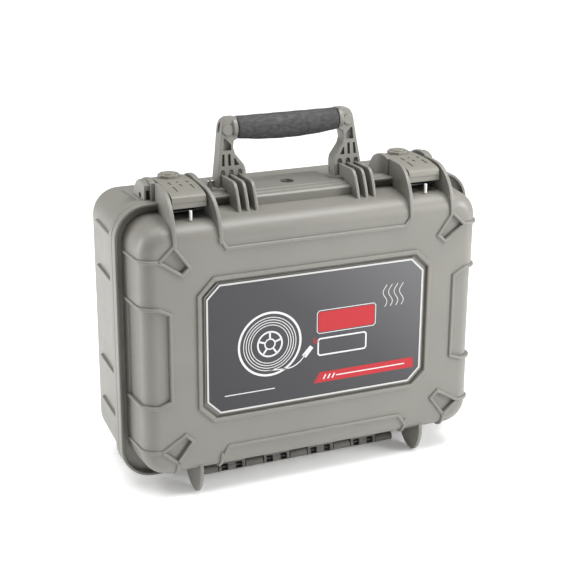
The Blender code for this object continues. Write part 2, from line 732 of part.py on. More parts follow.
def make_grip():
    stations = [GRIP_HALF_LENGTH * (2.0 * step / GRIP_STATIONS - 1.0) for step in range(GRIP_STATIONS + 1)]
    grip = loft("handle_grip", [grip_ring(along) for along in stations], "grip_rubber")
    reach = GRIP_HALF_LENGTH + 1.0
    bore = rod("bore", "X", -reach, reach, HANDLE_CORE_RADIUS + GAP, (HANDLE_Y, GRIP_Z))
    return cut(grip, [bore])


def make_handle():
    low = HANDLE_Y - HANDLE_HALF_DEPTH
    high = HANDLE_Y + HANDLE_HALF_DEPTH
    arms = [prism("handle_frame", "Y", low, high, handle_arm_outline(1), "case_plastic")]
    arms.append(prism("arm", "Y", low, high, handle_arm_outline(-1)))
    core = rod("core", "X", -66.0, 66.0, HANDLE_CORE_RADIUS, (HANDLE_Y, GRIP_Z), steps=16)
    collars = []
    for start in (-76.0, 62.0):
        collars.append(rod("collar", "X", start, start + 14.0, GRIP_RADIUS - GAP, (HANDLE_Y, GRIP_Z)))
    frame = join(arms[0], [core, arms[1]] + collars)
    holes = []
    for side in (-1, 1):
        for middle in COMB_FINS:
            slot_low = side * middle - COMB_THICK / 2 - 0.9
            slot_high = slot_low + COMB_THICK + 1.8
            holes.append(box("slot", (slot_low, low - 1.0, 333.0), (slot_high, high + 1.0, 353.5)))
        for middle, width in ((80.4, 2.8), (73.3, 3.2)):
            pocket_low = side * middle - width / 2
            pocket_high = (pocket_low + width, low + 5.0, 371.0)
            holes.append(box("pocket", (pocket_low, low - 1.0, 358.0), pocket_high))
        pocket_low = side * 74.6 - 4.2
        holes.append(box("pocket", (pocket_low, low - 1.0, 375.0), (pocket_low + 8.4, low + 5.0, 386.0)))
    holes.append(rod("bore", "X", -98.0, 98.0, HANDLE_PIN_RADIUS + GAP, HANDLE_PIVOT, steps=16))
    cut(frame, holes)
    lean_handle([frame, make_grip()])
    for side, word in ((-1, "left"), (1, "right")):
        ends = sorted((side * 54.5, side * 97.0))
        rod("handle_pin_" + word, "X", ends[0], ends[1], HANDLE_PIN_RADIUS, HANDLE_PIVOT,
            "steel", 16)


# ======== wire spool ========

def make_spool():
    front = WIRE_Y - SPOOL_HALF_WIDTH
    back = WIRE_Y + SPOOL_HALF_WIDTH
    barrel_radius = 52.0
    profile = [(SPOOL_BORE, front), (SPOOL_RADIUS, front), (SPOOL_RADIUS, front + 3.0),
               (barrel_radius, front + 3.0), (barrel_radius, back - 3.0), (SPOOL_RADIUS, back - 3.0),
               (SPOOL_RADIUS, back), (SPOOL_BORE, back)]
    turned("wire_spool", "Y", (SPOOL_X, SPOOL_Z), profile, "black_plastic", 40)
    winding = [(barrel_radius + GAP, front + 3.3), (WINDING_RADIUS, front + 3.3),
               (WINDING_RADIUS, back - 3.3), (barrel_radius + GAP, back - 3.3)]
    turned("wire_winding", "Y", (SPOOL_X, SPOOL_Z), winding, "steel", 40)
    hub = [(8.3, front - 4.0), (SPOOL_BORE - GAP, front - 4.0), (SPOOL_BORE - GAP, back + 1.0),
           (32.0, back + 1.0), (32.0, back + 4.0), (8.3, back + 4.0)]
    turned("spool_hub", "Y", (SPOOL_X, SPOOL_Z), hub, "red_plastic")
    rod("spool_spindle", "Y", front - 13.0, DECK_FRONT - GAP, 8.0, (SPOOL_X, SPOOL_Z), "steel")
    nut_profile = [(8.3, front - 12.0), (20.0, front - 12.0), (22.0, front - 10.0), (22.0, front - 6.5),
                   (20.0, front - 4.3), (8.3, front - 4.3)]
    turned("spool_nut", "Y", (SPOOL_X, SPOOL_Z), nut_profile, "black_plastic")


# ======== drive unit ========

def make_feed_plate():
    """A block on the deck that carries the shaft, the arm's pivot and the guides."""
    plate = box("feed_plate", (34.0, 18.0, 52.0), (114.0, DECK_FRONT - GAP, 124.0), "aluminium")
    ears = []
    for start, end in ((34.0, 48.0), (92.0, 96.5), (105.5, 114.0)):
        ears.append(box("ear", (start, 0.0, 80.0), (end, 19.0, 96.0)))
    join(plate, ears)
    bores = [rod("bore", "Y", 10.0, 50.0, SHAFT_RADIUS + GAP, (ROLL_X, DRIVE_ROLL_Z)),
             rod("bore", "Y", 10.0, 30.0, AXLE_RADIUS + GAP, (ARM_PIVOT_X, ARM_PIVOT_Z), steps=16),
             rod("bore", "X", 30.0, 50.0, 4.0 + GAP, (WIRE_Y, WIRE_Z), steps=16),
             rod("bore", "X", 90.0, 120.0, 4.0 + GAP, (WIRE_Y, WIRE_Z), steps=16)]
    cut(plate, bores)


def make_rolls():
    front = WIRE_Y - ROLL_HALF_WIDTH
    back = WIRE_Y + ROLL_HALF_WIDTH
    groove = 0.6
    profile = [(SHAFT_RADIUS + GAP, front), (DRIVE_ROLL_RADIUS, front), (DRIVE_ROLL_RADIUS, WIRE_Y - 1.4),
               (DRIVE_ROLL_RADIUS - groove, WIRE_Y), (DRIVE_ROLL_RADIUS, WIRE_Y + 1.4),
               (DRIVE_ROLL_RADIUS, back), (SHAFT_RADIUS + GAP, back)]
    turned("drive_roll", "Y", (ROLL_X, DRIVE_ROLL_Z), profile, "steel")
    rod("output_shaft", "Y", front - 3.0, 62.0, SHAFT_RADIUS, (ROLL_X, DRIVE_ROLL_Z), "steel")
    bore = SHAFT_RADIUS + GAP
    cap = [(bore, front - 3.4), (9.0, front - 3.4), (9.0, front - GAP), (bore, front - GAP)]
    turned("roll_retainer", "Y", (ROLL_X, DRIVE_ROLL_Z), cap, "black_plastic", 24)
    bore = AXLE_RADIUS + GAP
    profile = [(bore, front), (PRESSURE_ROLL_RADIUS, front), (PRESSURE_ROLL_RADIUS, back), (bore, back)]
    turned("pressure_roll", "Y", (ROLL_X, PRESSURE_ROLL_Z), profile, "steel")


def arm_plate_outline():
    return [(ARM_PIVOT_X - 7.0, ARM_PIVOT_Z - 3.0), (ARM_PIVOT_X - 3.0, ARM_PIVOT_Z - 7.0),
            (ROLL_X - 6.0, PRESSURE_ROLL_Z - 6.0), (ROLL_X + 6.0, PRESSURE_ROLL_Z - 6.0),
            (ROLL_X + 20.0, 112.0), (TENSION_X + 8.0, 116.0), (TENSION_X + 8.0, 124.0),
            (ARM_PIVOT_X, 124.0), (ARM_PIVOT_X - 7.0, 119.0)]


def make_pressure_arm():
    front_plate = (-3.0, WIRE_Y - ROLL_HALF_WIDTH - GAP)
    back_plate = (WIRE_Y + ROLL_HALF_WIDTH + GAP, 17.4)
    arm = prism("pressure_arm", "Y", front_plate[0], front_plate[1], arm_plate_outline(), "aluminium")
    parts = [prism("plate", "Y", back_plate[0], back_plate[1], arm_plate_outline()),
             box("bridge", (ARM_PIVOT_X, -2.0, 117.0), (TENSION_X + 8.0, 17.0, 124.0))]
    join(arm, parts)
    holes = [rod("bore", "Y", -10.0, 20.0, AXLE_RADIUS + GAP, (ARM_PIVOT_X, ARM_PIVOT_Z), steps=16),
             rod("bore", "Y", -10.0, 20.0, AXLE_RADIUS + GAP, (ROLL_X, PRESSURE_ROLL_Z), steps=16),
             rod("bore", "Z", 110.0, 130.0, 2.0 + GAP, (TENSION_X, WIRE_Y), steps=16)]
    cut(arm, holes)
    rod("arm_pin", "Y", -4.0, 29.5, AXLE_RADIUS, (ARM_PIVOT_X, ARM_PIVOT_Z), "steel", 16)
    rod("roll_axle", "Y", -4.0, 17.0, AXLE_RADIUS, (ROLL_X, PRESSURE_ROLL_Z), "steel", 16)
    rod("tension_rod", "Z", 97.0, 156.0, 2.0, (TENSION_X, WIRE_Y), "steel", 12)
    make_tension_spring()
    knob = [(2.3, 142.0), (9.0, 142.0), (11.0, 144.0), (11.0, 156.0), (9.0, 158.0), (2.3, 158.0)]
    turned("tension_knob", "Z", (TENSION_X, WIRE_Y), knob, "black_plastic", 20)


def make_tension_spring():
    """A coil of round wire between the arm and the knob."""
    turns = 5
    turn_steps = 10
    steps = turn_steps * turns
    radius = 5.0
    wire = 0.8
    low = 125.4
    high = 140.6
    curve = bpy.data.curves.new("tension_spring", "CURVE")
    curve.dimensions = "3D"
    curve.bevel_depth = wire * METRES
    curve.bevel_resolution = 1
    curve.use_fill_caps = True
    spline = curve.splines.new("POLY")
    spline.points.add(steps)
    for i in range(steps + 1):
        turn = 2 * math.pi * i / turn_steps
        x = TENSION_X + radius * math.cos(turn)
        y = WIRE_Y + radius * math.sin(turn)
        z = low + (high - low) * i / steps
        spline.points[i].co = (x * METRES, y * METRES, z * METRES, 1.0)
    curve.materials.append(material("steel"))
    made = bpy.data.objects.new("tension_spring", curve)
    bpy.context.scene.collection.objects.link(made)


def make_drive_unit():
    make_feed_plate()
    make_rolls()
    make_pressure_arm()
    tube("inlet_guide", "X", 20.0, 53.0, 4.0, 1.2, (WIRE_Y, WIRE_Z), "brass", 16)
    tube("outlet_guide", "X", 88.0, 176.0, 4.0, 1.2, (WIRE_Y, WIRE_Z), "brass", 16)
    box_low = (ROLL_X - 22.0, DECK_FRONT + DECK_THICK + GAP, DRIVE_ROLL_Z - 24.0)
    gearbox = box("gearbox", box_low, (ROLL_X + 22.0, 80.0, DRIVE_ROLL_Z + 24.0), "aluminium")
    cut(gearbox, [rod("bore", "Y", 40.0, 63.0, SHAFT_RADIUS + GAP, (ROLL_X, DRIVE_ROLL_Z))])
    rod("drive_motor", "X", ROLL_X - 92.0, ROLL_X - 22.3, 17.5, (62.5, DRIVE_ROLL_Z), "steel")
    rod("feed_wire", "X", SPOOL_X, 179.0, WIRE_RADIUS, (WIRE_Y, WIRE_Z), "steel", 8)


# ======== deck, controls and sockets ========

def make_deck():
    deck = box("deck_plate", (-DECK_HALF_WIDTH, DECK_FRONT, DECK_BOTTOM),
               (DECK_HALF_WIDTH, DECK_FRONT + DECK_THICK, DECK_TOP), "aluminium")
    holes = [rod("bore", "Y", 30.0, 50.0, SHAFT_RADIUS + 1.0, (ROLL_X, DRIVE_ROLL_Z))]
    corners = [(x, z) for x in (-183.0, 183.0) for z in (48.0, 298.0)]
    for corner in corners:
        holes.append(rod("bore", "Y", 30.0, 50.0, 2.5 + GAP, corner, steps=12))
    cut(deck, holes)
    for number, corner in enumerate(corners, 1):
        post_low = DECK_FRONT + DECK_THICK + GAP
        rod("deck_post_%d" % number, "Y", post_low, BACK_Y - WALL - 12.0, 5.0, corner, "light_plastic", 12)
        name = "deck_screw_%d" % number
        screw = rod(name, "Y", DECK_FRONT - 3.0, DECK_FRONT - GAP, 4.5, corner, "steel", 12)
        shank = rod("shank", "Y", DECK_FRONT - 1.0, DECK_FRONT + DECK_THICK, 2.5, corner, steps=12)
        join(screw, [shank])


def make_controls():
    pod = box("control_pod", (30.0, 14.0, 202.0), (174.0, DECK_FRONT - GAP, 290.0), "black_plastic")
    wells = [box("well", (ROCKER_X - 11.3, 10.0, 238.5), (ROCKER_X + 11.3, 22.0, 261.5)),
             rod("well", "Y", 10.0, 22.0, 7.3, (JOG_X, CONTROLS_Z)),
             rod("well", "Y", 10.0, 24.0, 3.3, (KNOB_X, CONTROLS_Z), steps=16)]
    cut(pod, wells)
    knob = prism("speed_knob", "Y", -2.0, 13.4, circle(16.0, (KNOB_X, CONTROLS_Z)), "black_plastic")
    stem = rod("stem", "Y", 13.0, 22.0, 3.0, (KNOB_X, CONTROLS_Z), steps=16)
    pointer = box("pointer", (75.0, -3.2, 252.0), (77.0, -1.0, 265.0))
    join(knob, [stem, pointer])
    rocker = [(240.0, 20.0), (240.0, 12.5), (250.0, 10.5), (260.0, 9.0), (260.0, 14.0), (253.0, 20.5)]
    rocker = [(y, z) for z, y in rocker]
    prism("power_switch", "X", ROCKER_X - 10.5, ROCKER_X + 10.5, rocker, "red_plastic")
    rod("jog_button", "Y", 9.0, 18.5, 7.0, (JOG_X, CONTROLS_Z), "red_plastic")
    box("control_board", (36.0, 52.0, 190.0), (150.0, 53.6, 296.0), "board")
    box("contactor", (-60.0, 50.0, 205.0), (-12.0, 78.0, 265.0), "black_plastic")


def make_sockets():
    outer = 215.5
    profile = [(6.0, 178.0), (GUN_SOCKET_RADIUS, 178.0), (GUN_SOCKET_RADIUS, outer), (6.0, outer)]
    turned("gun_socket", "X", (WIRE_Y, WIRE_Z), profile, "brass", 24)
    for word, height in POWER_SOCKETS:
        profile = [(5.0, 196.0), (POWER_SOCKET_RADIUS, 196.0), (POWER_SOCKET_RADIUS, 214.5), (5.0, 214.5)]
        turned("power_socket_" + word, "X", (POWER_SOCKET_Y, height), profile, "black_plastic", 24)


# ======== joint axes ========

def hang_on_axis(names, spot):
    """Puts the origins of a moving body's pieces on their joint's axis."""
    shift = Vector(spot) * METRES
    for name in names:
        piece = bpy.data.objects[name]
        if piece.type == "MESH":
            piece.data.transform(Matrix.Translation(-shift))
            piece.location = shift
        else:
            parent = bpy.data.objects.new(name + "_axis", None)
            bpy.context.scene.collection.objects.link(parent)
            parent.location = shift
            piece.parent = parent
            piece.matrix_parent_inverse = Matrix.Translation(-shift)


def hang_moving_bodies():
    lid = ["lid_shell", "lid_gasket", "label_plate"]
    for word, side in (("left", -1), ("right", 1)):
        lid += ["keeper_pin_" + word, "latch_rest_" + word]
        hang_on_axis(["latch_lever_" + word], (side * LATCH_X, *LATCH_PIVOT))
        hang_on_axis(["latch_button_" + word], (side * LATCH_X, BUTTON_Y - 2.5, 350.4))
    hang_on_axis(lid, (0.0, *HINGE))
    hang_on_axis(["handle_frame", "handle_grip"], (0.0, *HANDLE_PIVOT))
    hang_on_axis(["wire_spool", "wire_winding", "spool_hub", "spool_nut"], (SPOOL_X, WIRE_Y, SPOOL_Z))
    hang_on_axis(["output_shaft", "drive_roll", "roll_retainer"], (ROLL_X, WIRE_Y, DRIVE_ROLL_Z))
    arm = ["pressure_arm", "roll_axle", "tension_rod", "tension_spring"]
    hang_on_axis(arm, (ARM_PIVOT_X, WIRE_Y, ARM_PIVOT_Z))
    hang_on_axis(["pressure_roll"], (ROLL_X, WIRE_Y, PRESSURE_ROLL_Z))
    hang_on_axis(["tension_knob"], (TENSION_X, WIRE_Y, 150.0))
    hang_on_axis(["speed_knob"], (KNOB_X, 5.5, CONTROLS_Z))
    hang_on_axis(["power_switch"], (ROCKER_X, 15.5, CONTROLS_Z))
    hang_on_axis(["jog_button"], (JOG_X, 9.0, CONTROLS_Z))


def main():
    clear_scene()
    make_case()
    make_latch(-1, "left")
    make_latch(1, "right")
    make_handle()
    make_spool()
    make_drive_unit()
    make_deck()
    make_controls()
    make_sockets()
    hang_moving_bodies()


main()
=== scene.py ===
"""Looks for the wire feeder in its carrying case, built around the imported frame.

Lengths are millimetres in this file; solid() turns them into metres.
+X runs to the right seen from the lid, +Y from the lid to the base's back, +Z up.
"""
import json
import math

import bmesh
import bpy
import numpy as np
from mathutils import Matrix, Vector


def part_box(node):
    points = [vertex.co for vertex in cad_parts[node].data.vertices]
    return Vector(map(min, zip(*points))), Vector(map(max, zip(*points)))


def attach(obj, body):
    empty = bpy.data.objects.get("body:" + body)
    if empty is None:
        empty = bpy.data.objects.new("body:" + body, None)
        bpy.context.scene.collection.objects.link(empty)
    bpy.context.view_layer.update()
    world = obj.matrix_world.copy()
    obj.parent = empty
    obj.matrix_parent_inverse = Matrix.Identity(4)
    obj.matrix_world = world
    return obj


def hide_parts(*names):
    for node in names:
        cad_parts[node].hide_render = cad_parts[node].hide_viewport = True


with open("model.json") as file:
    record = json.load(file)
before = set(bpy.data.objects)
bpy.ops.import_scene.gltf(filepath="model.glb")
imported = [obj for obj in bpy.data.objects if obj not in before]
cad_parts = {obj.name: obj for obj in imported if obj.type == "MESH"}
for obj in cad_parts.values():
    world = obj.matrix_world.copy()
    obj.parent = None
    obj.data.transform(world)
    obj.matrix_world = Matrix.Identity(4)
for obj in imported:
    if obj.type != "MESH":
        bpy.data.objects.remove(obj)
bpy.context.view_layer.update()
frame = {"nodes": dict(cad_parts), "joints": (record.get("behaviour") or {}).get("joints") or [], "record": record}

METRES = 0.001
MM = 1000.0


def corners(node):
    """A CAD node's lowest and highest corners in millimetres."""
    low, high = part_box(node)
    return low * MM, high * MM


# ---- places that come from the frame ----
LID_LOW, LID_HIGH = corners("lid_shell")
LABEL_LOW, LABEL_HIGH = corners("label_plate")
VALVE_LOW, VALVE_HIGH = corners("pressure_valve")
PLACED_JOINTS = [joint for joint in frame["joints"] if "pos_m" in joint]
JOINT_PLACES = {joint["name"]: [c * MM for c in joint["pos_m"]] for joint in PLACED_JOINTS}

RIB_PROUD = 2.5
FRONT_Y = LID_LOW.y
FACE_Y = FRONT_Y + RIB_PROUD
BACK_Y = corners("base_shell")[1].y
PARTING_Y = FACE_Y + 62.0
MIDDLE_Z = (LABEL_LOW.z + LABEL_HIGH.z) / 2
FLANGE_HALF_WIDTH = LID_HIGH.x
FLANGE_BOTTOM = MIDDLE_Z - 164.0
FLANGE_TOP = MIDDLE_Z + 158.0
FLANGE_CORNER = 38.0
LID_FLANGE_THICK = 11.0
BASE_FLANGE_THICK = 12.0
GROOVE_DEPTH = 9.0
WALL = 3.5
GAP = 0.3
DRAFT = math.tan(math.radians(3.4))

LID_HALF_WIDTH = 206.5
LID_HALF_HEIGHT = 147.0
LID_CORNER = 32.0
LID_ROUNDING = 17.0
BASE_HALF_WIDTH = 213.0
BASE_BOTTOM = 15.5
BASE_TOP = 330.5
BASE_CORNER = 36.0
BASE_ROUNDING = 16.0
CORNER_STEPS = 14
ROUNDING_STEPS = 10

# ---- patterns on the lid's face, about the label's centre ----
LABEL_HALF_WIDTH = LABEL_HIGH.x
LABEL_HALF_HEIGHT = (LABEL_HIGH.z - LABEL_LOW.z) / 2
LABEL_CHAMFER = 15.3
FRAME_HALF_WIDTH = 142.8
FRAME_HALF_HEIGHT = 85.3
FRAME_CHAMFER = 19.0
UPPER_KITE = [(168.2, 124.0), (184.3, 108.7), (159.2, 91.1), (150.3, 99.4)]
LOWER_KITE = [(185.7, -111.6), (158.1, -94.7), (149.4, -103.1), (167.4, -126.9)]
SIDE_LINE = [(187.0, 56.0), (173.0, 48.7), (173.0, -52.5), (187.0, -58.0)]
TOP_LINE = [(116.5, 128.5), (107.9, 115.2), (-107.9, 115.2), (-116.5, 128.5)]
BOTTOM_LINE = [(115.5, -131.0), (107.0, -118.0), (-107.0, -118.0), (-115.5, -131.0)]
RIB_HALF_WIDTH = 2.0
RIB_SUNK = 1.5
PANEL_SUNK = 1.8

# ---- hinge, feet, combs and latches ----
_, HINGE_Y, HINGE_Z = JOINT_PLACES["lid_hinge"]
KNUCKLE_RADIUS = 5.2
BASE_KNUCKLES = [-114.0, -57.0, 0.0, 57.0, 114.0]
BASE_KNUCKLE_WIDTH = 22.0
LID_KNUCKLES = [-85.5, -28.5, 28.5, 85.5]
LID_KNUCKLE_WIDTH = 33.0
FOOT_X = 139.0
FOOT_THICK = 5.0
COMB_FINS = [61.6, 72.0, 82.0]
COMB_THICK = 4.0
FLANGE_FOOT = [(PARTING_Y - GAP, 326.0), (-35.0, 326.0), (-37.0, 320.6)]
BLOCK_TOP = 333.0
LATCH_X = JOINT_PLACES["latch_right_hinge"][0]
LATCH_WIDTH = 39.0
LATCH_PIVOT = tuple(JOINT_PLACES["latch_right_hinge"][1:])
HANDLE_PIVOT = tuple(JOINT_PLACES["handle_hinge"][1:])
HANDLE_LEAN = math.radians(6.9)
HANDLE_Y = -3.0
GRIP_Z = 399.6
GRIP_RADIUS = 12.8
GRIP_BELLY = 4.3
GRIP_HALF_LENGTH = corners("handle_grip")[1].x
HANDLE_TOP = 412.2
SPOOL = tuple(JOINT_PLACES["spool_spin"][::2])
KNOB_X, _, CONTROLS_Z = JOINT_PLACES["speed_knob_turn"]

# ---- camera and lights, in metres and watts ----
CAMERA_PLACE = (-0.6173, -1.4021, 0.7455)
CAMERA_RIGHT = Vector((0.91557, -0.40209, 0.00662))
CAMERA_UP = Vector((0.12848, 0.30809, 0.94264))
CAMERA_FORWARD = Vector((0.38107, 0.86221, -0.33374))
SENSOR_WIDTH = 36.0
LENS = 86.78
WORLD_STRENGTH = 0.31
SOFT_LIGHTS = {
    "key": ((1.05, -0.85, 0.65), (0.05, -0.05, 0.2), (0.6, 0.6), 16.0),
    "left": ((-1.25, 0.55, 0.5), (0.0, 0.1, 0.2), (0.8, 0.8), 13.0),
    "top": ((0.35, -0.35, 1.35), (0.05, -0.03, 0.33), (0.7, 0.5), 11.0),
}
HIGH_STRENGTH = 2.3
HIGH_SPREAD = math.radians(60.0)
HIGH_TILT = math.radians(-6.0)
FLOOR_HALF = 6.0
FLOOR_LEVEL = -0.0002
FLOOR_GLOW = 0.16


# ======== camera, lights and floor ========

def set_camera():
    """Looks from the front left, from a little above the handle."""
    data = bpy.data.cameras.new("camera")
    camera = bpy.data.objects.new("camera", data)
    bpy.context.scene.collection.objects.link(camera)
    data.sensor_width = SENSOR_WIDTH
    data.lens = LENS
    data.clip_start = 0.05
    turn = Matrix((CAMERA_RIGHT, CAMERA_UP, -CAMERA_FORWARD)).transposed()
    camera.matrix_world = Matrix.Translation(CAMERA_PLACE) @ turn.to_4x4()
    bpy.context.scene.camera = camera


def soft_light(name, place, target, size, power):
    data = bpy.data.lights.new(name, "AREA")
    data.shape = "RECTANGLE"
    data.size = size[0]
    data.size_y = size[1]
    data.energy = power
    light = bpy.data.objects.new(name, data)
    bpy.context.scene.collection.objects.link(light)
    light.location = place
    aim = Vector(target) - Vector(place)
    light.rotation_euler = aim.to_track_quat("-Z", "Y").to_euler()


def set_studio():
    world = bpy.data.worlds.new("studio")
    bpy.context.scene.world = world
    world.use_nodes = True
    background = world.node_tree.nodes["Background"]
    background.inputs["Color"].default_value = (1.0, 1.0, 1.0, 1.0)
    background.inputs["Strength"].default_value = WORLD_STRENGTH
    for name, settings in SOFT_LIGHTS.items():
        soft_light(name, *settings)
    high = bpy.data.lights.new("high", "SUN")
    high.energy = HIGH_STRENGTH
    high.angle = HIGH_SPREAD
    overhead = bpy.data.objects.new("high", high)
    bpy.context.scene.collection.objects.link(overhead)
    overhead.rotation_euler = (HIGH_TILT, HIGH_TILT, 0.0)
    bpy.context.scene.view_settings.view_transform = "Standard"


def make_floor():
    mesh = bpy.data.meshes.new("floor")
    sides = [(-1, -1), (1, -1), (1, 1), (-1, 1)]
    mesh.from_pydata([(x * FLOOR_HALF, y * FLOOR_HALF, FLOOR_LEVEL) for x, y in sides], [], [(0, 1, 2, 3)])
    floor = bpy.data.objects.new("floor", mesh)
    bpy.context.scene.collection.objects.link(floor)
    paper = new_material("floor_paper", (0.93, 0.93, 0.94), 0.7)
    noise = add_noise(paper, 3.0, 3.0)
    tint(paper, noise, (0.955, 0.955, 0.96), (0.975, 0.975, 0.98))
    shader_of(paper).inputs["Emission Color"].default_value = (1.0, 1.0, 1.0, 1.0)
    shader_of(paper).inputs["Emission Strength"].default_value = FLOOR_GLOW
    mesh.materials.append(paper)


# ======== materials ========

def new_material(name, colour, roughness, metallic=0.0):
    made = bpy.data.materials.new(name)
    made.use_nodes = True
    shader = made.node_tree.nodes["Principled BSDF"]
    shader.inputs["Base Color"].default_value = (*colour, 1.0)
    shader.inputs["Roughness"].default_value = roughness
    shader.inputs["Metallic"].default_value = metallic
    return made


def add_node(made, kind, **inputs):
    node = made.node_tree.nodes.new(kind)
    for name, value in inputs.items():
        node.inputs[name.replace("_", " ")].default_value = value
    return node


def link(made, start, end):
    made.node_tree.links.new(start, end)


def object_place(made, stretch=(1.0, 1.0, 1.0)):
    """Object coordinates, in metres, stretched along each axis."""
    place = made.node_tree.nodes.new("ShaderNodeTexCoord")
    mapping = made.node_tree.nodes.new("ShaderNodeMapping")
    mapping.inputs["Scale"].default_value = stretch
    link(made, place.outputs["Object"], mapping.inputs["Vector"])
    return mapping.outputs["Vector"]


def add_noise(made, scale, detail, stretch=(1.0, 1.0, 1.0), distortion=0.0):
    node = add_node(made, "ShaderNodeTexNoise", Scale=scale, Detail=detail, Distortion=distortion)
    link(made, object_place(made, stretch), node.inputs["Vector"])
    return node.outputs["Fac"]


def add_ramp(made, source, stops):
    ramp = made.node_tree.nodes.new("ShaderNodeValToRGB")
    elements = ramp.color_ramp.elements
    while len(elements) < len(stops):
        elements.new(0.5)
    for element, (position, colour) in zip(elements, stops):
        element.position = position
        element.color = (*colour, 1.0)
    link(made, source, ramp.inputs["Fac"])
    return ramp.outputs["Color"]


def shader_of(made):
    return made.node_tree.nodes["Principled BSDF"]


def tint(made, source, dark, light, low=0.35, high=0.65):
    """Colours the surface between two colours by a pattern."""
    colour = add_ramp(made, source, [(low, dark), (high, light)])
    link(made, colour, shader_of(made).inputs["Base Color"])


def vary_roughness(made, source, low, high):
    spread = add_node(made, "ShaderNodeMapRange")
    spread.inputs["To Min"].default_value = low
    spread.inputs["To Max"].default_value = high
    link(made, source, spread.inputs["Value"])
    link(made, spread.outputs["Result"], shader_of(made).inputs["Roughness"])


def add_bump(made, source, strength, distance):
    bump = add_node(made, "ShaderNodeBump", Strength=strength, Distance=distance)
    link(made, source, bump.inputs["Height"])
    link(made, bump.outputs["Normal"], shader_of(made).inputs["Normal"])


def moulded_plastic(name, colour, roughness, grain=1500.0, grain_strength=0.25):
    """Textured injection-moulded plastic with faint flow marks and rubbed patches."""
    made = new_material(name, colour, roughness)
    dark = tuple(c * 0.965 for c in colour)
    light = tuple(c * 1.03 for c in colour)
    cloud = add_noise(made, 14.0, 6.0, distortion=0.4)
    tint(made, cloud, dark, light)
    rubbed = add_noise(made, 55.0, 4.0)
    vary_roughness(made, rubbed, roughness - 0.06, roughness + 0.08)
    fine = add_noise(made, grain, 2.0)
    add_bump(made, fine, grain_strength, 0.0002)
    return made


def brushed_metal(name, colour, roughness, stretch=(1.0, 1.0, 12.0)):
    made = new_material(name, colour, roughness, 1.0)
    streaks = add_noise(made, 260.0, 3.0, stretch)
    tint(made, streaks, tuple(c * 0.86 for c in colour), colour, 0.3, 0.7)
    vary_roughness(made, streaks, roughness - 0.06, roughness + 0.1)
    add_bump(made, streaks, 0.12, 0.0001)
    return made


def grip_rubber():
    """Dark rubber whose moulded grain leaves lighter cloudy patches."""
    made = new_material("grip_rubber", (0.06, 0.06, 0.062), 0.75)
    clouds = add_noise(made, 70.0, 8.0, (1.0, 2.2, 2.2), 1.6)
    tint(made, clouds, (0.026, 0.026, 0.027), (0.075, 0.075, 0.077), 0.42, 0.78)
    vary_roughness(made, clouds, 0.62, 0.85)
    fine = add_noise(made, 900.0, 3.0)
    add_bump(made, fine, 0.5, 0.0004)
    return made


def scaled(made, source, factor, offset):
    """A value multiplied by a factor and moved by an offset."""
    sum_node = add_node(made, "ShaderNodeMath")
    sum_node.operation = "MULTIPLY_ADD"
    sum_node.inputs[1].default_value = factor
    sum_node.inputs[2].default_value = offset
    link(made, source, sum_node.inputs[0])
    return sum_node.outputs[0]


def label_dark():
    """Printed charcoal under a satin film, with a painted sheen that lightens it towards its upper right."""
    made = new_material("label_dark", (0.05, 0.05, 0.053), 0.4)
    shader_of(made).inputs["Specular IOR Level"].default_value = 0.3
    place = made.node_tree.nodes.new("ShaderNodeTexCoord")
    split = made.node_tree.nodes.new("ShaderNodeSeparateXYZ")
    link(made, place.outputs["Object"], split.inputs["Vector"])
    # Painted sheen: a slope rising to the right and upwards, which the ramp below turns into lighter colour where
    # the lamps' reflection would fall.
    across = scaled(made, split.outputs["X"], 2.1, 0.5)
    rise = scaled(made, split.outputs["Z"], 2.6, -2.6 * MIDDLE_Z * METRES)
    painted_sheen_slope = add_node(made, "ShaderNodeMath")
    painted_sheen_slope.operation = "ADD"
    link(made, across, painted_sheen_slope.inputs[0])
    link(made, rise, painted_sheen_slope.inputs[1])
    stops = [(0.1, (0.034, 0.034, 0.037)), (0.55, (0.048, 0.048, 0.052)), (1.0, (0.12, 0.12, 0.124))]
    colour = add_ramp(made, painted_sheen_slope.outputs[0], stops)
    link(made, colour, shader_of(made).inputs["Base Color"])
    film = add_noise(made, 420.0, 3.0)
    vary_roughness(made, film, 0.36, 0.46)
    add_bump(made, film, 0.06, 0.0001)
    return made


def printed_ink(name, colour, roughness):
    made = new_material(name, colour, roughness)
    shader_of(made).inputs["Specular IOR Level"].default_value = 0.25
    speckle = add_noise(made, 700.0, 2.0)
    tint(made, speckle, tuple(c * 0.92 for c in colour), colour)
    vary_roughness(made, speckle, roughness - 0.04, roughness + 0.06)
    return made


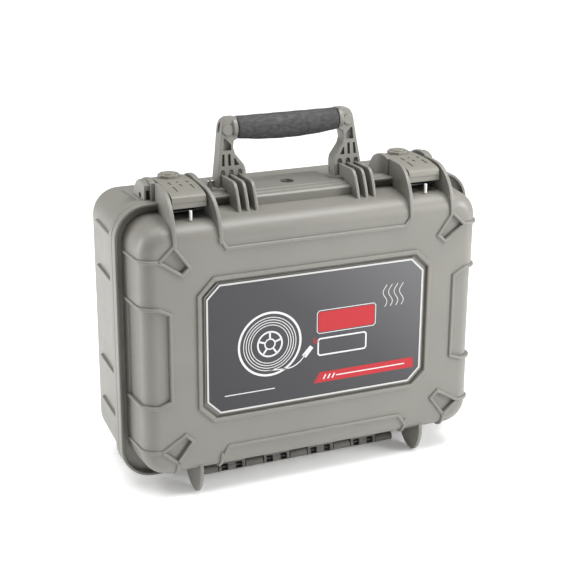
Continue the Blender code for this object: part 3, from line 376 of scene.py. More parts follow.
MATERIALS = {
    "case_plastic": moulded_plastic("case_plastic", (0.172, 0.167, 0.148), 0.42),
    "latch_plastic": moulded_plastic("latch_plastic", (0.178, 0.172, 0.147), 0.4, 1200.0, 0.2),
    "grip_rubber": grip_rubber(),
    "seal_rubber": moulded_plastic("seal_rubber", (0.03, 0.03, 0.03), 0.7),
    "label_dark": label_dark(),
    "label_silver": printed_ink("label_silver", (0.52, 0.515, 0.5), 0.4),
    "label_white": printed_ink("label_white", (0.62, 0.62, 0.62), 0.45),
    "label_red": printed_ink("label_red", (0.4, 0.022, 0.028), 0.45),
    "steel": brushed_metal("steel", (0.62, 0.62, 0.63), 0.28),
    "dark_steel": brushed_metal("dark_steel", (0.1, 0.1, 0.105), 0.42),
    "aluminium": brushed_metal("aluminium", (0.72, 0.73, 0.74), 0.36),
    "brass": brushed_metal("brass", (0.74, 0.54, 0.22), 0.3),
    "black_plastic": moulded_plastic("black_plastic", (0.028, 0.028, 0.03), 0.45),
    "red_plastic": moulded_plastic("red_plastic", (0.5, 0.03, 0.028), 0.35, 900.0, 0.1),
    "wound_wire": brushed_metal("wound_wire", (0.6, 0.58, 0.56), 0.3, (1.0, 12.0, 1.0)),
    "board": moulded_plastic("board", (0.02, 0.14, 0.06), 0.4, 500.0, 0.4),
    "light_plastic": moulded_plastic("light_plastic", (0.66, 0.66, 0.62), 0.4),
}


# ======== mesh helpers ========

def solid(name, points, faces, bevel=0.0):
    """A closed mesh object from points in millimetres, with its sharp edges rounded."""
    mesh = bpy.data.meshes.new(name)
    mesh.from_pydata([[c * METRES for c in point] for point in points], [], faces)
    work = bmesh.new()
    work.from_mesh(mesh)
    bmesh.ops.remove_doubles(work, verts=work.verts, dist=0.002 * METRES)
    bmesh.ops.recalc_face_normals(work, faces=work.faces)
    if bevel:
        sharp = [edge for edge in work.edges if edge.calc_face_angle(0.0) > math.radians(32)]
        bmesh.ops.bevel(work, geom=sharp, offset=bevel * METRES, segments=2, profile=0.5,
                        affect="EDGES", clamp_overlap=True)
    work.to_mesh(mesh)
    work.free()
    made = bpy.data.objects.new(name, mesh)
    bpy.context.scene.collection.objects.link(made)
    return made


def loft(name, rings, bevel=0.0, closed=False):
    """Joins rings of equal length with sides; closed joins the last to the first."""
    count = len(rings[0])
    levels = len(rings)
    points = [point for ring in rings for point in ring]
    faces = []
    if not closed:
        faces.append(list(range(count)))
        faces.append([len(points) - count + i for i in range(count)])
    for level in range(levels if closed else levels - 1):
        low = level * count
        high = ((level + 1) % levels) * count
        for i in range(count):
            following = (i + 1) % count
            faces.append([low + i, low + following, high + following, high + i])
    return solid(name, points, faces, bevel)


def place(axis, along, pair):
    first, second = pair
    if axis == "X":
        return (along, first, second)
    if axis == "Y":
        return (first, along, second)
    return (first, second, along)


def prism(name, axis, low, high, outline, bevel=0.0):
    rings = [[place(axis, along, pair) for pair in outline] for along in (low, high)]
    return loft(name, rings, bevel)


def box(name, low, high, bevel=0.0):
    outline = [(low[0], low[1]), (high[0], low[1]), (high[0], high[1]), (low[0], high[1])]
    return prism(name, "Z", low[2], high[2], outline, bevel)


def polar(centre, radius, turn):
    return (centre[0] + radius * math.cos(turn), centre[1] + radius * math.sin(turn))


def circle(radius, centre=(0.0, 0.0), steps=48, start=0.0):
    return [polar(centre, radius, start + 2 * math.pi * i / steps) for i in range(steps)]


def arc(centre, radius, start, end, steps=24):
    return [polar(centre, radius, math.radians(start + (end - start) * i / steps)) for i in range(steps + 1)]


def radial_strip(centre, turn, inner, outer, half_width):
    """The corners of a straight strip that points away from a centre."""
    across = (math.cos(turn), math.sin(turn))
    corner_places = ((inner, -half_width), (outer, -half_width), (outer, half_width), (inner, half_width))
    return [(centre[0] + across[0] * out - across[1] * aside, centre[1] + across[1] * out + across[0] * aside)
            for out, aside in corner_places]


def plate(name, middle, thick, outline, bevel=0.0):
    """A prism of a given thickness about a place on X."""
    low = middle - thick / 2
    return prism(name, "X", low, low + thick, outline, bevel)


def plate_beside(name, side, inner, outer, outline, bevel=0.0):
    """A prism on one side of the middle, between two distances along X."""
    low, high = sorted((side * inner, side * outer))
    return prism(name, "X", low, high, outline, bevel)


def rod(name, axis, low, high, radius, centre, bevel=0.0, steps=48):
    return prism(name, axis, low, high, circle(radius, centre, steps), bevel)


def turned(name, axis, centre, profile, steps=64):
    """Turns a closed profile of (radius, along) pairs that stays off the axis."""
    rings = []
    for i in range(steps):
        turn = 2 * math.pi * i / steps
        rings.append([place(axis, along, polar(centre, radius, turn)) for radius, along in profile])
    return loft(name, rings, closed=True)


def smooth_line(points, steps=6):
    """A curve through open points, by Catmull-Rom."""
    result = []
    for i in range(len(points) - 1):
        before = points[max(i - 1, 0)]
        start = points[i]
        end = points[i + 1]
        after = points[min(i + 2, len(points) - 1)]
        for step in range(steps):
            t = step / steps
            spot = []
            for a, b, c, d in zip(before, start, end, after):
                spot.append(0.5 * (2 * b + (c - a) * t + (2 * a - 5 * b + 4 * c - d) * t ** 2
                                   + (3 * b - a - 3 * c + d) * t ** 3))
            result.append(tuple(spot))
    result.append(tuple(points[-1]))
    return result


def volume(mesh):
    work = bmesh.new()
    work.from_mesh(mesh)
    found = work.calc_volume()
    work.free()
    return found


def combine(target, others, operation):
    """Joins or cuts other solids into the target, and removes them; a failed result is dropped."""
    for other in others:
        before = volume(target.data)
        change = target.modifiers.new(operation, "BOOLEAN")
        change.operation = operation
        change.solver = "EXACT"
        change.object = other
        bpy.context.view_layer.update()
        graph = bpy.context.evaluated_depsgraph_get()
        result = bpy.data.meshes.new_from_object(target.evaluated_get(graph))
        target.modifiers.clear()
        after = volume(result)
        grew = after >= before * 0.999 if operation == "UNION" else after > before * 0.5
        if grew:
            target.data = result
        else:
            print("SKIPPED", operation, target.name, other.name, before, after)
        bpy.data.objects.remove(other, do_unlink=True)
    return target


def join(target, others):
    return combine(target, others, "UNION")


def cut(target, others):
    return combine(target, others, "DIFFERENCE")


def finish(piece, finish_name, body, *nodes, slot=None, sharp=34.0):
    """Gives a piece its material, shading and body, and hides the CAD nodes it stands for."""
    piece.data.materials.clear()
    piece.data.materials.append(MATERIALS[finish_name])
    piece.data.shade_smooth()
    piece.data.set_sharp_from_angle(angle=math.radians(sharp))
    weigh = piece.modifiers.new("weigh", "WEIGHTED_NORMAL")
    weigh.keep_sharp = True
    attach(piece, body)
    slot = slot or finish_name
    if nodes:
        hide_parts(*nodes)
    return piece


def offset_line(line, distance, closed):
    """Moves a line of (x, z) points sideways by a distance, with mitred corners."""
    count = len(line)
    moved = []
    for i in range(count):
        before = line[i - 1] if (closed or i > 0) else None
        after = line[(i + 1) % count] if (closed or i < count - 1) else None
        normals = []
        for start, end in ((before, line[i]), (line[i], after)):
            if start is None or end is None:
                continue
            length = math.dist(start, end)
            normals.append(((end[1] - start[1]) / length, (start[0] - end[0]) / length))
        mean = (sum(n[0] for n in normals), sum(n[1] for n in normals))
        size = math.hypot(*mean)
        unit = (mean[0] / size, mean[1] / size)
        reach = distance / (unit[0] * normals[0][0] + unit[1] * normals[0][1])
        moved.append((line[i][0] + unit[0] * reach, line[i][1] + unit[1] * reach))
    return moved


def mirrored(line, side):
    return [(side * x, z) for x, z in line]


def about_label(line):
    return [(x, z + MIDDLE_Z) for x, z in line]


def octagon(half_width, half_height, chamfer):
    quarter = [(half_width, half_height - chamfer), (half_width - chamfer, half_height)]
    left_top = [(-x, z) for x, z in reversed(quarter)]
    left_bottom = [(-x, -z) for x, z in quarter]
    right_bottom = [(x, -z) for x, z in reversed(quarter)]
    return quarter + left_top + left_bottom + right_bottom


def sweep(name, frames, profile, closed=False):
    """Carries a profile of (across, up) pairs along frames of (point, across, up)."""
    rings = []
    for spot, across, up in frames:
        ring = [tuple(spot[k] + across[k] * a + up[k] * h for k in range(3)) for a, h in profile]
        rings.append(ring)
    return loft(name, rings, closed=closed)


RIB_PROFILE = [(-RIB_HALF_WIDTH, -RIB_SUNK), (-RIB_HALF_WIDTH, 1.0), (-1.5, 1.9), (-0.7, 2.4), (0.7, 2.4),
               (1.5, 1.9), (RIB_HALF_WIDTH, 1.0), (RIB_HALF_WIDTH, -RIB_SUNK)]


def face_frames(line, closed):
    """Frames along a line on the lid's face, which looks along -Y."""
    line = about_label(line)
    aside = offset_line(line, 1.0, closed)
    frames = []
    for (x, z), (side_x, side_z) in zip(line, aside):
        frames.append(((x, FACE_Y, z), (side_x - x, 0.0, side_z - z), (0.0, -1.0, 0.0)))
    return frames


# ======== case shells ========

def rounded_ring(along, half_width, bottom, top, corner):
    centres = [(1, 1, 0), (-1, 1, 90), (-1, -1, 180), (1, -1, 270)]
    ring = []
    for side, up, start in centres:
        centre_x = side * (half_width - corner)
        centre_z = (top - corner) if up > 0 else (bottom + corner)
        for step in range(CORNER_STEPS + 1):
            turn = math.radians(start + 90.0 * step / CORNER_STEPS)
            ring.append((centre_x + corner * math.cos(turn), along, centre_z + corner * math.sin(turn)))
    return ring


def lid_ring(along, inset):
    draft = (PARTING_Y - along) * DRAFT
    half_width = LID_HALF_WIDTH - draft - inset
    half_height = LID_HALF_HEIGHT - draft - inset
    corner = max(LID_CORNER - draft - inset, 4.0)
    return rounded_ring(along, half_width, MIDDLE_Z - half_height, MIDDLE_Z + half_height, corner)


def base_ring(along, inset):
    reach = (along - PARTING_Y - BASE_FLANGE_THICK) * DRAFT + inset
    corner = max(BASE_CORNER - reach, 4.0)
    return rounded_ring(along, BASE_HALF_WIDTH - reach, BASE_BOTTOM + reach, BASE_TOP - reach, corner)


def flange_ring(along, inset=0.0):
    return rounded_ring(along, FLANGE_HALF_WIDTH - inset, FLANGE_BOTTOM + inset, FLANGE_TOP - inset,
                        FLANGE_CORNER - inset)


def rounding(radius, steps=ROUNDING_STEPS):
    """Inset and depth of each step of a quarter-round edge, from the flat inwards."""
    turns = [math.radians(90.0 * step / steps) for step in range(steps + 1)]
    return [(radius * (1 - math.sin(turn)), radius * (1 - math.cos(turn))) for turn in turns]


def lid_body():
    rim = PARTING_Y - GAP / 2
    flange_front = PARTING_Y - LID_FLANGE_THICK
    edge = 1.2
    rings = [lid_ring(FACE_Y, LID_ROUNDING + 6.0)]
    rings += [lid_ring(FACE_Y + depth, inset) for inset, depth in rounding(LID_ROUNDING)]
    rings += [lid_ring(flange_front + GROOVE_DEPTH, 0.0), flange_ring(flange_front + GROOVE_DEPTH, 3.4)]
    rings.append(flange_ring(flange_front + 0.5, 2.9))
    rings += [flange_ring(flange_front + depth, inset) for inset, depth in rounding(edge, 4)]
    rings += [flange_ring(rim - 0.8), flange_ring(rim, 0.8)]
    rings.append(lid_ring(rim, 0.3))
    rings.append(lid_ring(rim - 3.0, 0.3))
    rings.append(lid_ring(rim - 3.0, WALL + 0.3))
    inside = rounding(10.0, 5)[::-1]
    rings += [lid_ring(FACE_Y + WALL + depth, WALL + inset) for inset, depth in inside]
    return loft("lid", rings)


def base_body():
    rim = PARTING_Y + GAP / 2
    flange_back = PARTING_Y + BASE_FLANGE_THICK
    edge = 1.6
    rings = [base_ring(BACK_Y, BASE_ROUNDING + 6.0)]
    rings += [base_ring(BACK_Y - depth, inset) for inset, depth in rounding(BASE_ROUNDING)]
    rings.append(base_ring(flange_back + 1.5, 0.0))
    rings.append(base_ring(flange_back, -0.8))
    rings += [flange_ring(flange_back - depth, inset) for inset, depth in rounding(edge, 4)]
    rings += [flange_ring(rim + 0.8), flange_ring(rim, 0.8)]
    rings.append(base_ring(rim, WALL + 1.0))
    inside = rounding(10.0, 5)[::-1]
    rings += [base_ring(BACK_Y - WALL - depth, WALL + inset) for inset, depth in inside]
    return loft("base", rings)


def lid_section(half_size, raise_by=0.0, steps=ROUNDING_STEPS):
    """The lid's outer surface as (across, y, normal across, normal y), from face to flange."""
    draft = (PARTING_Y - FACE_Y - LID_ROUNDING) * DRAFT
    side = half_size - draft
    points = []
    for step in range(steps + 1):
        turn = math.radians(90.0 * step / steps)
        radius = LID_ROUNDING + raise_by
        across = side - LID_ROUNDING + radius * math.sin(turn)
        y = FACE_Y + LID_ROUNDING - radius * math.cos(turn)
        points.append((across, y, math.sin(turn), -math.cos(turn)))
    last = half_size - LID_FLANGE_THICK * DRAFT + raise_by
    points.append((last, PARTING_Y - LID_FLANGE_THICK + 0.6, 1.0, 0.0))
    return points


def side_wrap(side, start, height):
    """A rib from a place on the face round the lid's side at a height."""
    frames = [((side * start, FACE_Y, height), (0.0, 0.0, 1.0), (0.0, -1.0, 0.0))]
    for across, y, out, forward in lid_section(LID_HALF_WIDTH):
        frames.append(((side * across, y, height), (0.0, 0.0, 1.0), (side * out, forward, 0.0)))
    return sweep("rib", frames, RIB_PROFILE)


def bottom_wrap(across, start):
    """A rib from a place on the face down round the lid's bottom edge."""
    frames = [((across, FACE_Y, MIDDLE_Z - start), (1.0, 0.0, 0.0), (0.0, -1.0, 0.0))]
    for down, y, out, forward in lid_section(LID_HALF_HEIGHT):
        frames.append(((across, y, MIDDLE_Z - down), (1.0, 0.0, 0.0), (0.0, forward, -out)))
    return sweep("rib", frames, RIB_PROFILE)


def lid_ribs():
    ribs = []
    heights = [UPPER_KITE[1], SIDE_LINE[0], SIDE_LINE[-1], LOWER_KITE[0]]
    for side in (-1, 1):
        for kite in (UPPER_KITE, LOWER_KITE):
            ribs.append(sweep("kite", face_frames(mirrored(kite, side), True), RIB_PROFILE, closed=True))
        ribs.append(sweep("side_rib", face_frames(mirrored(SIDE_LINE, side), False), RIB_PROFILE))
        fin_foot = [(166.9, 129.0), (167.2, 126.0), (168.2, 123.0)]
        ribs.append(sweep("fin_foot", face_frames(mirrored(fin_foot, side), False), RIB_PROFILE))
        for start, height in heights:
            ribs.append(side_wrap(side, start - 0.4, height + MIDDLE_Z))
        for (across, height), lap in ((LOWER_KITE[3], 2.3), (BOTTOM_LINE[0], 6.4)):
            ribs.append(bottom_wrap(side * across, -height - lap))
    ribs.append(sweep("top_rib", face_frames(TOP_LINE, False), RIB_PROFILE))
    ribs.append(sweep("bottom_rib", face_frames(BOTTOM_LINE, False), RIB_PROFILE))
    return ribs


def label_frame():
    """The raised octagonal bead round the label."""
    profile = [(-2.4, -RIB_SUNK), (-2.4, 1.4), (-1.9, 2.2), (-1.3, 2.5), (1.5, 2.5), (2.1, 2.2), (2.5, 1.6),
               (2.5, -RIB_SUNK)]
    line = octagon(FRAME_HALF_WIDTH - 2.5, FRAME_HALF_HEIGHT - 2.5, FRAME_CHAMFER - 1.4)
    return [sweep("frame", face_frames(line, True), profile, closed=True)]


def lid_recesses():
    """Shallow pockets cut into the lid: kites, side panels and a channel round the label."""
    channel = octagon(FRAME_HALF_WIDTH - 6.6, FRAME_HALF_HEIGHT - 6.6, FRAME_CHAMFER - 3.2)
    profile = [(-1.6, -2.4), (-1.6, 1.5), (1.6, 1.5), (1.6, -2.4)]
    cutters = [sweep("channel", face_frames(channel, True), profile, closed=True)]
    for side in (-1, 1):
        for kite in (UPPER_KITE, LOWER_KITE):
            line = about_label(mirrored(kite, side))
            inner = offset_line(line, -side * 1.5, True)
            cutters.append(prism("pocket", "Y", FACE_Y - 5.0, FACE_Y + 2.6, inner))
        band = [(side * across, y) for across, y, _, _ in lid_section(LID_HALF_WIDTH, -PANEL_SUNK)][:-1]
        panel_back = PARTING_Y - LID_FLANGE_THICK - 4.0
        band.append((side * (LID_HALF_WIDTH - LID_FLANGE_THICK * DRAFT - PANEL_SUNK - 0.4), panel_back))
        band = [(side * 160.0, FACE_Y + PANEL_SUNK)] + band
        band += [(side * 240.0, panel_back), (side * 240.0, FACE_Y - 10.0), (side * 160.0, FACE_Y - 10.0)]
        panel = prism("panel", "Z", MIDDLE_Z - 100.0, MIDDLE_Z + 100.0, band)
        window = [(173.0, 48.7), (187.0, 56.0), (250.0, 56.0), (250.0, -58.0), (187.0, -58.0), (173.0, -52.5)]
        window = about_label(mirrored(window, side))
        mask = prism("mask", "Y", FACE_Y - 20.0, PARTING_Y, window)
        cutters.append(combine(panel, [mask], "INTERSECT"))
    return cutters


def lid_root_line(first_y, last_y):
    """Points just under the lid's top surface, from front to back."""
    line = [(y, MIDDLE_Z + z) for z, y, _, _ in lid_section(LID_HALF_HEIGHT, -2.0)]
    return [point for point in line if first_y < point[0] < last_y]


def lid_fin_outline():
    crest = [(FRONT_Y, 297.5), (FRONT_Y, 304.0), (-88.0, 313.0), (-84.6, 325.0), (-78.5, 336.0),
             (-70.8, 344.4), (-61.5, 350.0), (-50.0, 352.6), (PARTING_Y - GAP, 353.4)]
    root = lid_root_line(FACE_Y, -38.0)
    crest = [(max(y, FRONT_Y), z) for y, z in smooth_line(crest, 3)]
    return crest + FLANGE_FOOT + root[::-1] + [(FACE_Y + RIB_SUNK, 297.5)]


def comb_outline():
    back = -3.8
    crest = [(-61.5, 319.0), (-59.4, 326.0), (-57.0, 333.0), (-51.5, 344.5), (-48.0, 349.2), (-43.0, 351.2),
             (back - 2.0, 350.0), (back, 348.5), (back, 336.0), (PARTING_Y - 1.0, 336.0)]
    return crest + FLANGE_FOOT


def lid_foot_outline():
    lower = [(-84.0, 42.0), (-86.5, 31.0), (-84.0, 18.0), (-79.0, 8.0), (-72.5, 1.5),
             (-66.0, 0.0), (-59.0, 0.3), (-51.0, 3.0), (-43.0, 9.0), (-36.6, 18.0)]
    lower = [(max(y, FRONT_Y), max(z, 0.0)) for y, z in smooth_line(lower, 3)]
    return lower + [(-36.6, 31.5), (-60.0, 33.0), (-74.0, 36.0)]


KNUCKLE = circle(KNUCKLE_RADIUS, (HINGE_Y, HINGE_Z), 32)


def lid_upstands():
    """Everything that stands up from the lid: fins, combs, feet, the middle block, knuckles."""
    parts = []
    for side in (-1, 1):
        for middle, splay in ((119.0, -4.6), (164.3, 2.6)):
            fin = plate("fin", side * middle, 4.4, lid_fin_outline(), 0.9)
            for vertex in fin.data.vertices:
                ahead = max(0.0, (-50.0 - vertex.co.y * MM) / (-50.0 - FRONT_Y))
                vertex.co.x += side * splay * ahead * METRES
            parts.append(fin)
            parts.append(plate("dot", side * middle, 5.8, circle(1.8, (-50.7, 334.9), 20), 0.3))
        for middle in COMB_FINS:
            parts.append(plate("comb", side * middle, COMB_THICK, comb_outline(), 1.1))
        parts.append(plate("foot", side * FOOT_X, FOOT_THICK, lid_foot_outline(), 1.6))
    block = [(-44.6, 320.2), (-45.0, 331.0), (-42.5, BLOCK_TOP), (PARTING_Y - GAP, BLOCK_TOP)] + FLANGE_FOOT
    parts.append(plate("block", 0.0, 121.0, block, 0.7))
    web_front = HINGE_Y - 4.0
    web_back = HINGE_Y + 4.5
    web_top = FLANGE_BOTTOM + 2.0
    web = [(web_front, HINGE_Z), (web_back, HINGE_Z), (web_back, web_top), (web_front, web_top)]
    for middle in LID_KNUCKLES:
        parts.append(plate("knuckle", middle, LID_KNUCKLE_WIDTH, KNUCKLE, 0.5))
        parts.append(plate("web", middle, LID_KNUCKLE_WIDTH, web))
    return parts


def make_lid():
    lid = lid_body()
    cut(lid, lid_recesses())
    join(lid, lid_ribs() + label_frame())
    join(lid, lid_upstands())
    holes = [rod("bore", "X", -130.0, 130.0, 2.5, (HINGE_Y, HINGE_Z), steps=24)]
    for middle in LID_KNUCKLES:
        for across in (-9.0, 9.0):
            low = (middle + across - 4.2, HINGE_Y - 6.0, HINGE_Z - 3.2)
            holes.append(box("knuckle_slot", low, (middle + across + 4.2, HINGE_Y + 1.5, HINGE_Z + 5.2)))
    cut(lid, holes)
    lid.name = "lid_moulding"
    finish(lid, "case_plastic", "lid", "lid_shell")


def cheek_outline():
    front = PARTING_Y + GAP
    crest = [(front, 353.4), (-16.0, 355.0), (-6.0, 355.0), (3.0, 353.2), (12.0, 348.4), (19.0, 340.4),
             (26.0, 329.0)]
    return [(front, 328.0)] + smooth_line(crest, 3) + [(26.0, 326.5)]


def add_hood(parts, side):
    """Guards the outer end of a latch pin with an arched top plate, an outer leg and a hexagonal boss."""
    top = [(-21.0, 344.0), (-21.0, 350.2), (-12.0, 353.4), (-2.0, 353.4), (7.0, 349.4), (15.0, 341.0),
           (22.0, 329.0), (24.0, 323.0), (17.0, 323.0), (12.0, 331.5), (6.0, 340.0), (0.0, 345.0),
           (-10.0, 347.0)]
    parts.append(plate_beside("hood", side, 169.0, 177.0, top, 1.1))
    leg = [(-21.0, 332.5), (-21.0, 348.0), (-12.0, 351.0), (-2.0, 351.0), (7.0, 347.0), (15.0, 339.0),
           (22.0, 327.0), (22.0, 318.0), (0.0, 322.0), (-14.0, 327.0)]
    parts.append(plate_beside("leg", side, 174.4, 177.0, leg, 0.8))
    parts.append(plate_beside("hex_boss", side, 169.0, 173.2, circle(6.8, LATCH_PIVOT, 6), 0.5))


def base_upstands():
    parts = []
    for side in (-1, 1):
        for middle in (118.0, 167.5):
            parts.append(plate("cheek", side * middle, 6.0, cheek_outline(), 0.9))
        add_hood(parts, side)
        foot = [(-12.0, 17.8), (-12.0, 14.0), (-4.0, 3.0), (0.0, 0.0), (48.0, 0.0), (54.0, 3.0), (60.0, 8.0),
                (66.0, 22.0)]
        parts.append(plate("foot", side * FOOT_X, FOOT_THICK, foot, 1.0))
        crown = [polar(HANDLE_PIVOT, 3.8, turn) for turn in np.linspace(math.pi, 0.0, 9)]
        parts.append(plate("lug", side * 94.4, 3.0, [(-7.0, 328.0)] + crown + [(7.0, 328.0)], 0.7))
        for height in (79.0, 132.0, 242.0, 295.0):
            rib = [(PARTING_Y + 2.0, 209.0), (PARTING_Y + 2.0, 216.2), (50.0, 212.8), (57.0, 206.5)]
            outline = [(side * x, y) for y, x in rib]
            parts.append(prism("rib", "Z", height - 2.5, height + 2.5, outline, 1.0))
        rib = [(PARTING_Y + 2.0, 328.0), (PARTING_Y + 2.0, 333.6), (50.0, 330.4), (57.0, 324.4)]
        parts.append(plate("rib", side * 176.5, 5.0, rib, 1.0))
    front = PARTING_Y + GAP
    block = [(front, 327.5), (front, BLOCK_TOP), (29.0, BLOCK_TOP), (32.0, 331.0), (32.0, 327.5)]
    parts.append(plate("block", 0.0, 99.0, block, 0.7))
    arm = [(HINGE_Y, HINGE_Z - 4.8), (-18.0, HINGE_Z - 4.8), (-14.0, 14.0), (-24.0, 14.0),
           (-24.0, HINGE_Z + 4.8), (HINGE_Y, HINGE_Z + 4.8)]
    for middle in BASE_KNUCKLES:
        parts.append(plate("knuckle", middle, BASE_KNUCKLE_WIDTH, KNUCKLE, 0.5))
        parts.append(plate("arm", middle, BASE_KNUCKLE_WIDTH, arm, 0.5))
    return parts


def make_base():
    base = base_body()
    join(base, base_upstands())
    holes = [rod("bore", "X", -130.0, 130.0, 2.5, (HINGE_Y, HINGE_Z), steps=24),
             rod("valve_hole", "Z", 329.0, 340.0, 8.3, (0.0, 0.0))]
    for side in (-1, 1):
        holes.append(plate_beside("pin_recess", side, 171.0, 182.0, circle(3.6, LATCH_PIVOT, 24)))
        low = side * LATCH_X - LATCH_WIDTH / 2 - 1.0
        holes.append(box("pocket", (low, PARTING_Y - 1.0, 331.2), (low + LATCH_WIDTH + 2.0, -12.9, 340.0)))
    for node in ("gun_socket", "power_socket_positive", "power_socket_negative"):
        low, high = corners(node)
        radius = (high.z - low.z) / 2 + GAP
        centre = ((low.y + high.y) / 2, (low.z + high.z) / 2)
        holes.append(rod("socket_hole", "X", 190.0, 230.0, radius, centre))
    cut(base, holes)
    base.name = "base_moulding"
    finish(base, "case_plastic", "case", "base_shell")


# ======== latches ========

def latch_outline():
    """A latch cover's section: its front, its crown and its underside."""
    front = [(-66.5, 333.8), (-66.4, 338.2), (-66.2, 341.4)]
    crown = [(-65.4, 345.4), (-63.2, 347.2), (-55.0, 349.6), (-38.0, 351.8), (-18.0, 352.4), (4.0, 351.6),
             (11.0, 350.0)]
    under = [(12.0, 347.0), (3.0, 347.6), (-18.0, 348.4), (-38.0, 347.8), (-54.0, 345.6), (-61.0, 343.0),
             (-62.8, 339.5), (-63.0, 333.8)]
    return front + smooth_line(crown, 3) + under


def cover_slot(middle, front, back):
    """A groove in a latch's cover that follows its curve from front to back."""
    crest = smooth_line([(-64.0, 346.6), (-55.0, 349.6), (-38.0, 351.8), (-18.0, 352.4), (4.0, 351.6)], 6)
    run = [(y, z) for y, z in crest if front <= y <= back]
    outline = [(y, z - 1.1) for y, z in run] + [(y, z + 4.0) for y, z in reversed(run)]
    return plate("slot", middle, 2.6, outline)


def make_latch(side, word):
    centre = side * LATCH_X
    low = centre - LATCH_WIDTH / 2
    high = centre + LATCH_WIDTH / 2
    lever = prism("latch_cover_" + word, "X", low, high, latch_outline(), 0.8)
    web = [(-50.0, 347.0), (-46.0, 339.0), (-22.0, 335.0), (LATCH_PIVOT[0], 332.5), (-1.0, 336.0),
           (4.0, 348.5), (-18.0, 349.0)]
    parts = [rod("barrel", "X", low, high, 4.2, LATCH_PIVOT, 0.4, 24)]
    for start in (low, high - 4.0):
        parts.append(prism("web", "X", start, start + 4.0, web, 0.4))
    pad = circle(12.8, (centre, -0.5), 8, math.pi / 8)
    parts.append(prism("pad", "Z", 349.0, 355.6, pad, 1.1))
    join(lever, parts)
    seam = [(-68.0, 339.3), (-65.9, 339.5), (-65.9, 340.1), (-68.0, 340.3)]
    holes = [rod("bore", "X", low - 1.0, high + 1.0, 2.3, LATCH_PIVOT, steps=20),
             rod("well", "Z", 350.4, 360.0, 8.3, (centre, -0.5), steps=40),
             prism("seam", "X", low + 1.2, high - 1.2, seam)]
    lengths = [(-9.4, -55.0, -24.0), (0.4, -43.0, -24.0), (11.2, -52.0, -22.0)]
    for across, front, back in lengths:
        middle = front + (back - front) * 0.56
        holes.append(cover_slot(centre + across, front, middle - 0.9))
        holes.append(cover_slot(centre + across, middle + 0.9, back))
    cut(lever, holes)
    finish(lever, "latch_plastic", "latch_" + word, "latch_lever_" + word)
    profile = [(7.6, 352.2), (8.0, 352.6), (8.0, 355.9), (7.7, 356.6), (7.0, 356.9), (6.4, 356.8),
               (4.0, 356.2), (0.6, 356.0)]
    cap = dome("latch_cap_" + word, "Z", (centre, -0.5), profile)
    finish(cap, "latch_plastic", "button_" + word, "latch_button_" + word)


def dome(name, axis, centre, profile, steps=48):
    """Stacks circles of (radius, along) pairs into a closed solid."""
    rings = [[place(axis, along, pair) for pair in circle(radius, centre, steps)] for radius, along in profile]
    return loft(name, rings)


# ======== handle ========

def lean(pieces):
    """Leans the upright handle's pieces back about the pivot, to where it rests."""
    pivot = Vector((0.0, *HANDLE_PIVOT)) * METRES
    turn = Matrix.Rotation(-HANDLE_LEAN, 4, "X")
    for piece in pieces:
        piece.data.transform(Matrix.Translation(pivot) @ turn @ Matrix.Translation(-pivot))


def handle_arm_outline(side):
    outer = [(90.4, 335.0), (89.0, 345.0), (84.8, 372.0), (81.3, 398.0), (80.0, 404.5), (77.0, 409.5),
             (72.0, HANDLE_TOP)]
    inner = [(62.0, HANDLE_TOP), (62.0, 387.5), (66.5, 386.0), (67.6, 378.0), (65.5, 371.0), (55.5, 358.0),
             (54.0, 352.0), (54.0, 335.0)]
    return mirrored(outer + inner, side)


def pocket_shapes(side):
    """Outlines of the pockets in an arm's front and back."""
    upper = [(70.4, 375.6), (80.0, 375.6), (78.8, 389.0), (77.2, 389.0), (70.4, 382.0)]
    outer_slot = [(78.8, 371.5), (81.4, 371.5), (82.6, 358.5), (79.2, 358.5)]
    middle_slot = [(71.8, 371.5), (74.8, 371.5), (75.0, 358.5), (71.6, 358.5)]
    wedge = [(66.4, 366.5), (67.8, 366.5), (67.8, 358.5), (62.0, 358.5)]
    return [mirrored(line, side) for line in (upper, outer_slot, middle_slot, wedge)]


